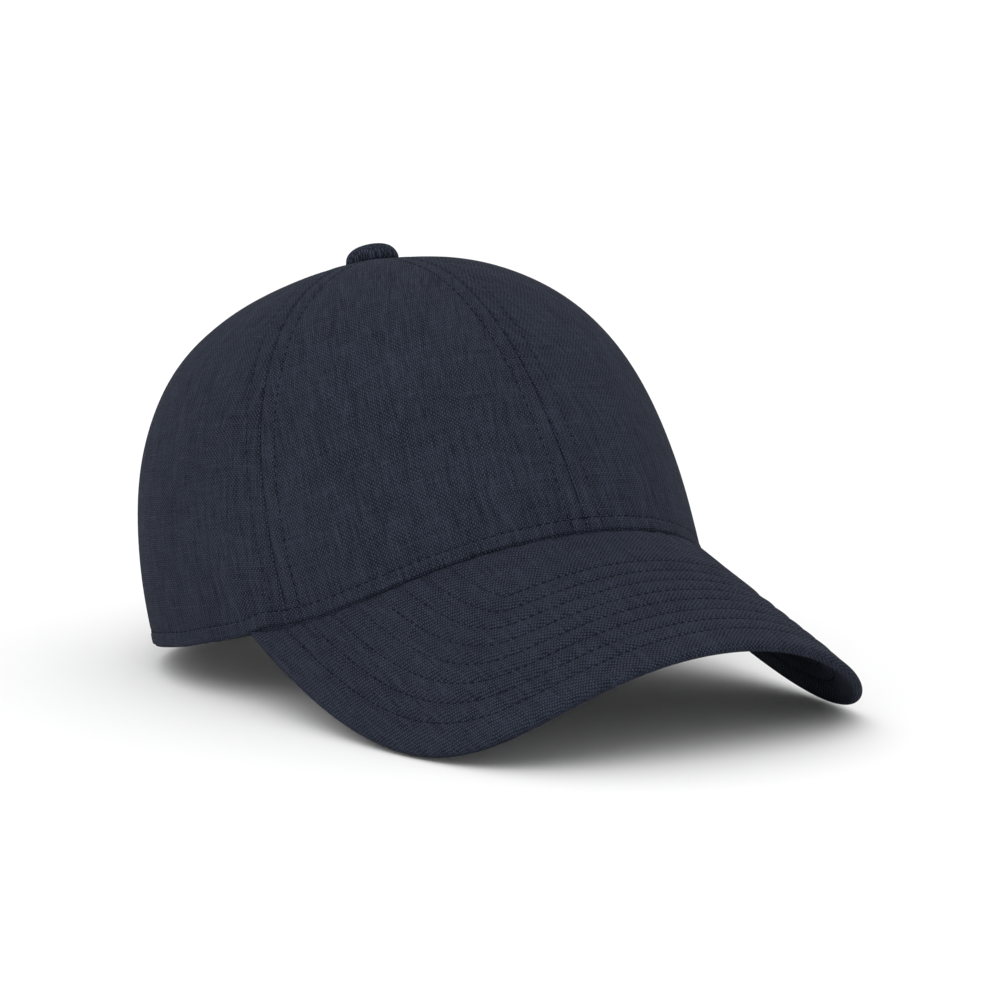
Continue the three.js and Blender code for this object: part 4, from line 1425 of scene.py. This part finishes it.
# %% [markdown]
# ## The lining: buckram, tapes, sweatband, label and binding
# Inside, the front gores are backed with buckram, every seam is covered by a twill tape, a folded
# sweatband runs round the rim, and a tape binds the arch. Each is a narrow strip that follows the
# crown a few millimetres deeper, so one function makes them all from two angles-and-distances
# grids. Near the apex the six tapes cross under the button, so each lies a little deeper than the
# last instead of all meeting in one plane.

# %% Strips that follow the crown from inside
STRIP_EDGE = 0.45  # radius of a tape's or band's folded edge


def edge_distances(points):
    """Distance of each grid point from the nearest border, measured along the grid."""
    across = row_distances(points)
    up = row_distances(points.swapaxes(0, 1)).T
    return np.minimum(np.minimum(across, across[:, -1:] - across), np.minimum(up, up[-1:] - up))


def crowded(count, low, high, share=0.12):
    """count places from low to high that crowd at both ends, where edges are folded."""
    t = np.linspace(0, 1, count)
    return mix(low, high, mix(t, smooth(t), 1 - share))


def lining_strip(
    name, angle, distance, depth, thickness, material, node, waves=0.0, flat=None
):
    """depth is the outer face's depth under the crown's surface; flat is the strip's own cut."""
    middle = crown_point(angle, distance, depth + thickness / 2)
    roll = turned(edge_distances(middle), STRIP_EDGE) * 0.45 * thickness
    wave = waves * loose_waves(middle * 1.7)
    outer = crown_point(angle, distance, depth + roll + wave)
    inner = crown_point(angle, distance, depth + thickness - roll + wave)
    if flat is None:
        flat = flat_pattern(middle, distance, middle.shape[1] // 2)
    piece = cloth_object(name, outer, inner, flat, material)
    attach(piece, "cap")
    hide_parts(node)
    return piece, inner


# %% Buckram
STIFFENER = {"depth": 1.5, "thick": 0.6, "margin": 7, "bottom": 2, "top": 118}


def degrees_for(width, radius):
    return np.degrees(width / radius)


linings = {}
for side, hand in ((1, "right"), (-1, "left")):
    up = crowded(70, STIFFENER["bottom"], STIFFENER["top"])[:, None]
    share = up / float(profile_length(30.0))
    inner_edge = degrees_for(1.0, apex_radius(1.0 + 0 * up, up))
    outer_edge = side_seam(share) - degrees_for(STIFFENER["margin"], apex_radius(60 + 0 * up, up))
    angle = mix(inner_edge, outer_edge, crowded(40, 0, 1)[None])
    lengths = profile_length(angle)
    distance = share * lengths
    linings[f"buckram_{hand}"], _ = lining_strip(
        f"buckram_{hand}", angle * side, distance, STIFFENER["depth"], STIFFENER["thick"],
        buckram_cloth, f"front_stiffener_{hand}",
    )

# %% Seam tapes
TAPE = {"half": 8.0, "thick": 0.4, "front": 2.4, "back": 1.5, "bottom": 2.0, "apex": 5.0}
TAPE_STACK = {"first": 1.0, "step": 0.2, "reach": 34.0}  # depths near the apex, where tapes cross


def back_centre(share):
    return 180.0 + 0.0 * share


def seam_tape(name, seam, side, depth, bottom, place_in_stack, node):
    length = float(profile_length(seam(0.5)))
    from_apex = crowded(110, length - bottom, TAPE["apex"])[:, None]
    width = crowded(19, -TAPE["half"], TAPE["half"])[None]
    share = 1 - from_apex / length
    radius = apex_radius(seam(share), length - from_apex)
    angle = seam(share) + np.degrees(np.arctan2(width, radius))
    distance = profile_length(angle) * np.clip(1 - np.hypot(from_apex, width) / length, 0, 1)
    crossing = TAPE_STACK["first"] + TAPE_STACK["step"] * place_in_stack
    depths = mix(crossing, depth, smooth((from_apex - 8) / TAPE_STACK["reach"])) + 0 * angle
    piece, _ = lining_strip(
        name, angle * side, distance, depths, TAPE["thick"], tape_cloth, node
    )
    return piece


BINDING = {"inset": 0.6, "width": 9.0, "depth": 1.5, "thick": 0.5, "lowest": 24.0}
ARCH_TOP = ARCH["height"] + BINDING["inset"] + BINDING["width"] + 1
TAPES = (
    ("front_centre_tape", centre_front, 1, "front", TAPE["bottom"]),
    ("back_centre_tape", back_centre, 1, "back", ARCH_TOP),
    ("side_seam_tape_right", side_seam, 1, "front", TAPE["bottom"]),
    ("back_seam_tape_left", back_seam, -1, "back", TAPE["bottom"]),
    ("side_seam_tape_left", side_seam, -1, "front", TAPE["bottom"]),
    ("back_seam_tape_right", back_seam, 1, "back", TAPE["bottom"]),
)
for place, (node, seam, side, zone, bottom) in enumerate(TAPES):
    linings[node] = seam_tape(f"{node}_cloth", seam, side, TAPE[zone], bottom, place, node)

# %% Sweatband and label
SWEATBAND = {"front": 3.1, "back": 4.8, "thick": 0.8, "height": 31.0, "end": 149.0}
# The lower edge is sewn to the crown's, up to the part that the strap slides behind.
SWEAT_FLARE = {"height": 5.0, "depth": 1.25, "until": 100.0, "fade": 20}
SWEAT_RIPPLE = {"height": 0.12, "count": 95, "row": 4.5, "width": 2.0}
LABEL = {"from": -112.0, "to": -92.0, "bottom": 8.0, "height": 17.0, "thick": 0.4, "gap": 0.3}


def sweatband_depth(angle):
    return mix(SWEATBAND["front"], SWEATBAND["back"], smooth((np.abs(angle) - 95) / 30))


def make_sweatband():
    angle = np.linspace(-SWEATBAND["end"], SWEATBAND["end"], 340)[None]
    distance = crowded(34, 0.4, SWEATBAND["height"])[:, None] + 0 * angle
    angle = angle + 0 * distance
    seated = sweatband_depth(angle)
    sewn = mix(
        SWEAT_FLARE["depth"], seated, smooth((np.abs(angle) - SWEAT_FLARE["until"]) / SWEAT_FLARE["fade"])
    )
    depth = mix(sewn, seated, smooth(distance / SWEAT_FLARE["height"]))
    free = 1 - smooth((np.abs(angle) - SWEAT_FLARE["until"]) / SWEAT_FLARE["fade"])  # it lies flat beside the strap
    ripple = SWEAT_RIPPLE["height"] * free * np.cos(np.radians(angle) * SWEAT_RIPPLE["count"])
    depth = depth + ripple * furrow(distance, SWEAT_RIPPLE["row"], SWEAT_RIPPLE["width"])
    return lining_strip(
        "sweatband_cloth", angle, distance, depth, SWEATBAND["thick"], sweat_cloth, "sweatband",
        waves=SWEAT_RIPPLE["height"] * free,
    )


def make_label():
    angle = crowded(40, LABEL["from"], LABEL["to"])[None]
    distance = crowded(30, LABEL["bottom"], LABEL["bottom"] + LABEL["height"])[:, None] + 0 * angle
    angle = angle + 0 * distance
    depth = sweatband_depth(angle) + SWEATBAND["thick"] + LABEL["gap"]
    return lining_strip(
        "care_label_cloth", angle, distance, depth, LABEL["thick"], label_cloth, "care_label"
    )


linings["sweatband"], sweat_inner = make_sweatband()
linings["label"], label_inner = make_label()


# %% Arch binding
def make_binding():
    lowest = math.asin(BINDING["lowest"] / ARCH["height"])
    turn = np.linspace(lowest, math.pi - lowest, 120)[None]
    outward = crowded(21, BINDING["inset"], BINDING["inset"] + BINDING["width"])[:, None]
    per_width = ARCH["half_angle"] / ARCH["half_width"]
    angle = 180 - (ARCH["half_width"] + outward) * np.cos(turn) * per_width
    distance = (ARCH["height"] + outward) * np.sin(turn)
    middle = outward.shape[0] // 2
    along = row_distances(crown_point(angle, distance))[middle]
    cut = np.stack([along + 0 * outward, outward + 0 * turn], -1)
    return lining_strip(
        "arch_binding_tape", angle, distance, BINDING["depth"], BINDING["thick"], tape_cloth,
        "arch_binding", flat=cut,
    )


linings["binding"], binding_inner = make_binding()


def row_of(grid, row):
    """A path along one row of an inner face, with the normals that point into the head space."""
    normal = -grid_normals(grid)
    middle = np.array([0, CROWN["apex_y"], 30])
    if np.mean(np.einsum("...i,...i", normal, middle - grid)) < 0:
        normal = -normal
    return grid[row], normal[row]


SEWN_ROWS = [  # the grid row of each line of stitches, counted from the lower or the upper edge
    (sweat_inner, 6), (sweat_inner, -5), (binding_inner, 3), (binding_inner, -4), (label_inner, -4)
]
lining_rows = [row_of(grid, row) for grid, row in SEWN_ROWS]
lining_stitching = stitch_rows("lining_stitching", lining_rows)
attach(lining_stitching, "cap")
print("lining pieces:", len(linings))

# %% [markdown]
# ## The back strap and its tab
# The strap is two plies of the crown's cloth, sewn along both edges, and cut on a slight curve so it
# lies on the head like a band of a shallow cone. It slides through the buckle, so it rides on its
# own body. The tab that holds the buckle is one strip, folded round the buckle's bar and sewn to
# itself close behind it.

# %% The strap
STRAP = {
    "centre_y": 5.4, "radius": 75.35, "taper": 0.085, "width": 18.0, "thick": 0.9, "bottom": 2.6,
    "reach": 43.0,  # degrees to each side of the back
}
STRAP_THREAD = 0.37  # the stitches' height over the middle of the two plies
STRAP_MIDDLE = STRAP["bottom"] + STRAP["width"] / 2
STRAP_STITCH = 2.2


def strap_point(turn, up, out):
    """turn in degrees round the back, up across the width, out from the strap's middle surface."""
    z = STRAP["bottom"] + up
    radius = STRAP["radius"] - STRAP["taper"] * (z - STRAP_MIDDLE) + out
    a = np.radians(turn)
    return np.stack([-radius * np.sin(a), STRAP["centre_y"] + radius * np.cos(a), z + 0 * a], -1)


def make_strap():
    turn = crowded(200, -STRAP["reach"], STRAP["reach"], 0.6)[None]
    up = crowded(27, 0.0, STRAP["width"], 0.3)[:, None]
    turn, up = turn + 0 * up, up + 0 * turn
    middle = strap_point(turn, up, 0)
    edge = edge_distances(middle)
    along = row_distances(middle)
    half = STRAP["thick"] / 2
    furrows = furrow(up, STRAP_STITCH, 0.6) + furrow(up, STRAP["width"] - STRAP_STITCH, 0.6)
    dip = 0.14 * furrows * pucker(along)
    face = half * (1 - 0.9 * turned(edge, 0.5)) - dip + 0.05 * smooth(edge / 3)
    outer, inner = strap_point(turn, up, face), strap_point(turn, up, -face)
    flat = np.stack([along, up], -1)
    piece = cloth_object("strap_webbing", outer, inner, flat, strap_cloth)
    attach(piece, "strap")
    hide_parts("back_strap")
    return piece


def strap_row(up, out):
    turn = np.linspace(-STRAP["reach"] + 2, STRAP["reach"] - 2, 200)
    path = strap_point(turn, up, out)
    outward = strap_point(turn, up, 1.0) - strap_point(turn, up, 0.0)
    return path, outward * np.sign(out)


strap = make_strap()
strap_lines = [
    strap_row(up, out)
    for up in (STRAP_STITCH, STRAP["width"] - STRAP_STITCH)
    for out in (STRAP_THREAD, -STRAP_THREAD)
]
strap_stitching = stitch_rows("strap_stitching", strap_lines)
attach(strap_stitching, "strap")

# %% The buckle's own frame
BUCKLE_TURN = math.radians(17)
BAR = {"offset": 10.5, "radius": 0.7, "radial": 2.4}
TAB = {"thick": 0.6, "width": 17.0, "end": 38.0, "gap": 0.3, "return": 3.6}


def from_buckle(points):
    """x along the strap, y outwards and z up the strap's width, to the drafting frame."""
    x, y, z = np.moveaxis(np.asarray(points, float), -1, 0)
    lean = math.atan(STRAP["taper"])
    c, s = math.cos(lean), math.sin(lean)
    y, z = y * c - z * s, y * s + z * c
    c, s = math.cos(BUCKLE_TURN), math.sin(BUCKLE_TURN)
    seat = (-STRAP["radius"] * s, STRAP["centre_y"] + STRAP["radius"] * c, STRAP_MIDDLE)
    return np.stack([x * c - y * s + seat[0], x * s + y * c + seat[1], z + seat[2]], -1)


# %% The tab
def tab_path():
    """The folded strip's middle line, seen along the bar, from its far end to its sewn return."""
    loop = BAR["radius"] + TAB["gap"] + TAB["thick"] / 2
    ring = STRAP["radius"] + BAR["radial"]
    bar_turn = BAR["offset"] / STRAP["radius"]
    bar = np.array([-ring * math.sin(bar_turn), ring * math.cos(bar_turn) - STRAP["radius"]])
    low = ring - loop
    end_turn = math.radians(TAB["end"]) - BUCKLE_TURN
    tail = np.linspace(end_turn, bar_turn, 30)
    tail = np.stack([-low * np.sin(tail), low * np.cos(tail) - STRAP["radius"]], -1)
    swing = np.linspace(-math.pi / 2, math.pi / 2 + 0.35, 22)[1:] + bar_turn
    wrap = bar + loop * np.stack([np.cos(swing), np.sin(swing)], -1)
    back = np.linspace(0, 1, 12)[1:, None]
    landing = bar_turn + (TAB["return"] + loop) / ring
    rest = low + TAB["thick"] * 1.05
    land = np.array([-rest * math.sin(landing), rest * math.cos(landing) - STRAP["radius"]])
    fall = mix(wrap[-1], land, back) + np.array([0, 0.25]) * np.sin(np.pi * back)
    return np.concatenate([tail, wrap, fall])


def make_tab():
    path = tab_path()
    ahead = np.gradient(path, axis=0)
    ahead = ahead / np.linalg.norm(ahead, axis=1, keepdims=True)
    outward = np.stack([-ahead[:, 1], ahead[:, 0]], -1)
    up = crowded(25, -TAB["width"] / 2, TAB["width"] / 2, 0.3)[:, None]
    flat_line = np.concatenate([[0], np.cumsum(np.linalg.norm(np.diff(path, axis=0), axis=1))])
    edge = np.minimum(
        TAB["width"] / 2 - np.abs(up), np.minimum(flat_line, flat_line[-1] - flat_line)[None]
    )
    half = TAB["thick"] / 2 * (1 - 0.9 * turned(edge, 0.35))
    faces = []
    for sign in (1, -1):
        line = path[None] + outward[None] * (half * sign)[..., None]
        faces.append(from_buckle(np.concatenate([line, (up + 0 * half)[..., None]], -1)))
    flat = np.stack([flat_line[None] + 0 * up, up + 0 * half], -1)
    piece = cloth_object("buckle_tab_cloth", faces[0], faces[1], flat, strap_cloth)
    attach(piece, "cap")
    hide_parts("buckle_tab")
    return piece


tab = make_tab()
print("strap and tab:", len(strap.data.polygons), len(tab.data.polygons), "faces")

# %% [markdown]
# ## Metals and plastics
# The buckle is antiqued brass: dark in its hollows and polished bright where fingers rub it. A node
# group makes that wear from noise and the mesh's own pointed edges, and the tinned parts of the
# button use the same group with other values. Real stamped metal never has a knife edge, so the
# buckle's frame and lever are copies of their CAD solids with small bevels along the sharp edges;
# the pin and the button's metal parts keep their CAD shapes and only get a new material.

# %% Worn metal group
def make_worn_metal():
    inputs = [("Size in metres", "NodeSocketFloat", 0.004), ("Edge", "NodeSocketFloat", 0.5)]
    outputs = [("Wear", "NodeSocketFloat"), ("Roughness", "NodeSocketFloat"), ("Height", "NodeSocketFloat")]
    group, entry, leave = new_group("worn_metal", inputs, outputs)
    place = group.nodes.new("ShaderNodeTexCoord").outputs["Object"]
    scale = sums(group, "DIVIDE", 1.0, entry.outputs[0])
    spot = noise(group, vectors(group, "SCALE", place, scale=scale), 1.0, 5.0, 0.65)
    brushed = group.nodes.new("ShaderNodeMapping")
    brushed.inputs["Scale"].default_value = (900, 900, 9000)
    group.links.new(place, brushed.inputs["Vector"])
    streak = noise(group, brushed.outputs[0], 1.0, 2.0, 0.5)
    pointed = group.nodes.new("ShaderNodeNewGeometry").outputs["Pointiness"]
    rubbed = remap(group, pointed, 0.5, 0.56)
    worn_edge = sums(group, "MULTIPLY", rubbed, entry.outputs["Edge"])
    wear = sums(group, "ADD", remap(group, spot, 0.35, 0.7), worn_edge)
    group.links.new(sums(group, "MINIMUM", wear, 1.0), leave.inputs["Wear"])
    streaked = sums(group, "MULTIPLY", streak, 0.12)
    rough = sums(group, "ADD", remap(group, spot, 0.3, 0.7, 0.42, 0.26), streaked)
    group.links.new(rough, leave.inputs["Roughness"])
    spotted = sums(group, "MULTIPLY", spot, 0.6)
    group.links.new(sums(group, "ADD", streak, spotted), leave.inputs["Height"])
    return group


WORN_METAL = make_worn_metal()


def metal_material(name, dark, bright, size, edge):
    material = bpy.data.materials.new(name)
    material.use_nodes = True
    tree = material.node_tree
    shader = tree.nodes["Principled BSDF"]
    worn = place_group(tree, WORN_METAL, Size_in_metres=size, Edge=edge)
    tree.links.new(
        colour_between(tree, worn.outputs["Wear"], dark, bright), shader.inputs["Base Color"]
    )
    tree.links.new(worn.outputs["Roughness"], shader.inputs["Roughness"])
    tree.links.new(bump(tree, worn.outputs["Height"], 0.00002), shader.inputs["Normal"])
    shader.inputs["Metallic"].default_value = 1.0
    return material


antique_brass = metal_material("antique_brass", (0.11, 0.075, 0.03), (0.46, 0.33, 0.15), 0.004, 0.6)
tinned_steel = metal_material("tinned_steel", (0.36, 0.36, 0.37), (0.62, 0.62, 0.63), 0.003, 0.4)


def board_material():
    material = bpy.data.materials.new("visor_board_plastic")
    material.use_nodes = True
    tree = material.node_tree
    shader = tree.nodes["Principled BSDF"]
    patch = place_group(tree, PATCHES, Size_in_metres=0.006).outputs[0]
    colour = colour_between(tree, patch, (0.7, 0.7, 0.66), (0.82, 0.82, 0.8))
    tree.links.new(colour, shader.inputs["Base Color"])
    tree.links.new(bump(tree, patch, 0.0001), shader.inputs["Normal"])
    shader.inputs["Roughness"].default_value = 0.5
    return material


# %% Bevelled metal pieces
BEVEL_WIDTH = 0.00016
SHARP_ANGLE = math.radians(32)


def bevelled_copy(node, name, body, material):
    deselect_all()
    source = frame["nodes"][node]
    piece = bpy.data.objects.new(name, source.data.copy())
    scene.collection.objects.link(piece)
    bpy.context.view_layer.objects.active = piece
    piece.select_set(True)
    bpy.ops.object.mode_set(mode="EDIT")
    bpy.ops.mesh.select_all(action="SELECT")
    bpy.ops.mesh.remove_doubles(threshold=2e-6)
    bpy.ops.mesh.dissolve_limited(angle_limit=math.radians(1))
    bpy.ops.object.mode_set(mode="OBJECT")
    bevel = piece.modifiers.new("soft_edges", "BEVEL")
    bevel.width = BEVEL_WIDTH
    bevel.segments = 2
    bevel.angle_limit = SHARP_ANGLE
    bpy.ops.object.modifier_apply(modifier=bevel.name)
    bpy.ops.object.shade_smooth_by_angle(angle=SHARP_ANGLE)
    piece.data.materials.clear()
    piece.data.materials.append(material)
    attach(piece, body)
    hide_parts(node)
    return piece


buckle_frame = bevelled_copy(
    "buckle_frame", "buckle_frame_brass", "cap", antique_brass
)
buckle_lever = bevelled_copy(
    "buckle_lever", "buckle_lever_brass", "lever", antique_brass
)


def finish_node(node, material):
    mesh = frame["nodes"][node].data
    mesh.materials.clear()
    mesh.materials.append(material)


for node in ("buckle_pin", "button_shell", "button_post", "button_washer"):
    finish_node(node, tinned_steel)
finish_node("visor_board", board_material())
print("metal pieces:", len(buckle_frame.data.polygons), len(buckle_lever.data.polygons), "faces")

# %% [markdown]
# ## What each sheet was cut from
# Most cloth pieces have the size and area of their flat cut printed. The weave map holds every point's place
# on the flat cloth, so the cut's width, length and area are all measured on that map and not on the
# finished shape.

# %% Measure a flat cut
NARROWEST_CUT = 0.0101


def flat_cut(piece):
    mesh = piece.data
    flat = np.zeros(len(mesh.loops) * 2, np.float32)
    mesh.uv_layers["weave"].data.foreach_get("uv", flat)
    flat = flat.reshape(-1, 2).astype(float)
    starts = np.zeros(len(mesh.polygons), np.int32)
    mesh.polygons.foreach_get("loop_start", starts)
    following = np.arange(len(flat)) + 1
    following[np.append(starts[1:], len(flat)) - 1] = starts
    u, v = (flat - flat.mean(axis=0)).T
    crossed = np.add.reduceat(u * v[following] - u[following] * v, starts)
    width, length = (flat.max(axis=0) - flat.min(axis=0)).tolist()
    both_faces = float(np.abs(crossed).sum() / 2)
    return (width, max(length, NARROWEST_CUT)), both_faces / 2


def declare(piece):
    size, area = flat_cut(piece)
    print(piece.name, "cut:", [round(x * 1000) for x in size], "mm, area", round(area * 1e4), "cm2")


def panel(place, hand):
    return bpy.data.objects[f"{place}_panel_{hand}"]


declare(visor_top)
declare(visor_under)
for hand in ("right", "left"):
    front, side, back = (panel(place, hand) for place in ("front", "side", "back"))
    declare(front)
    declare(side)
    declare(back)
    declare(linings[f"buckram_{hand}"])
    declare(linings[f"side_seam_tape_{hand}"])
    declare(linings[f"back_seam_tape_{hand}"])
for place, lining in (("front", "front_centre_tape"), ("back", "back_centre_tape"), ("back", "binding")):
    declare(linings[lining])
declare(linings["sweatband"])
declare(linings["label"])
declare(strap)
declare(tab)
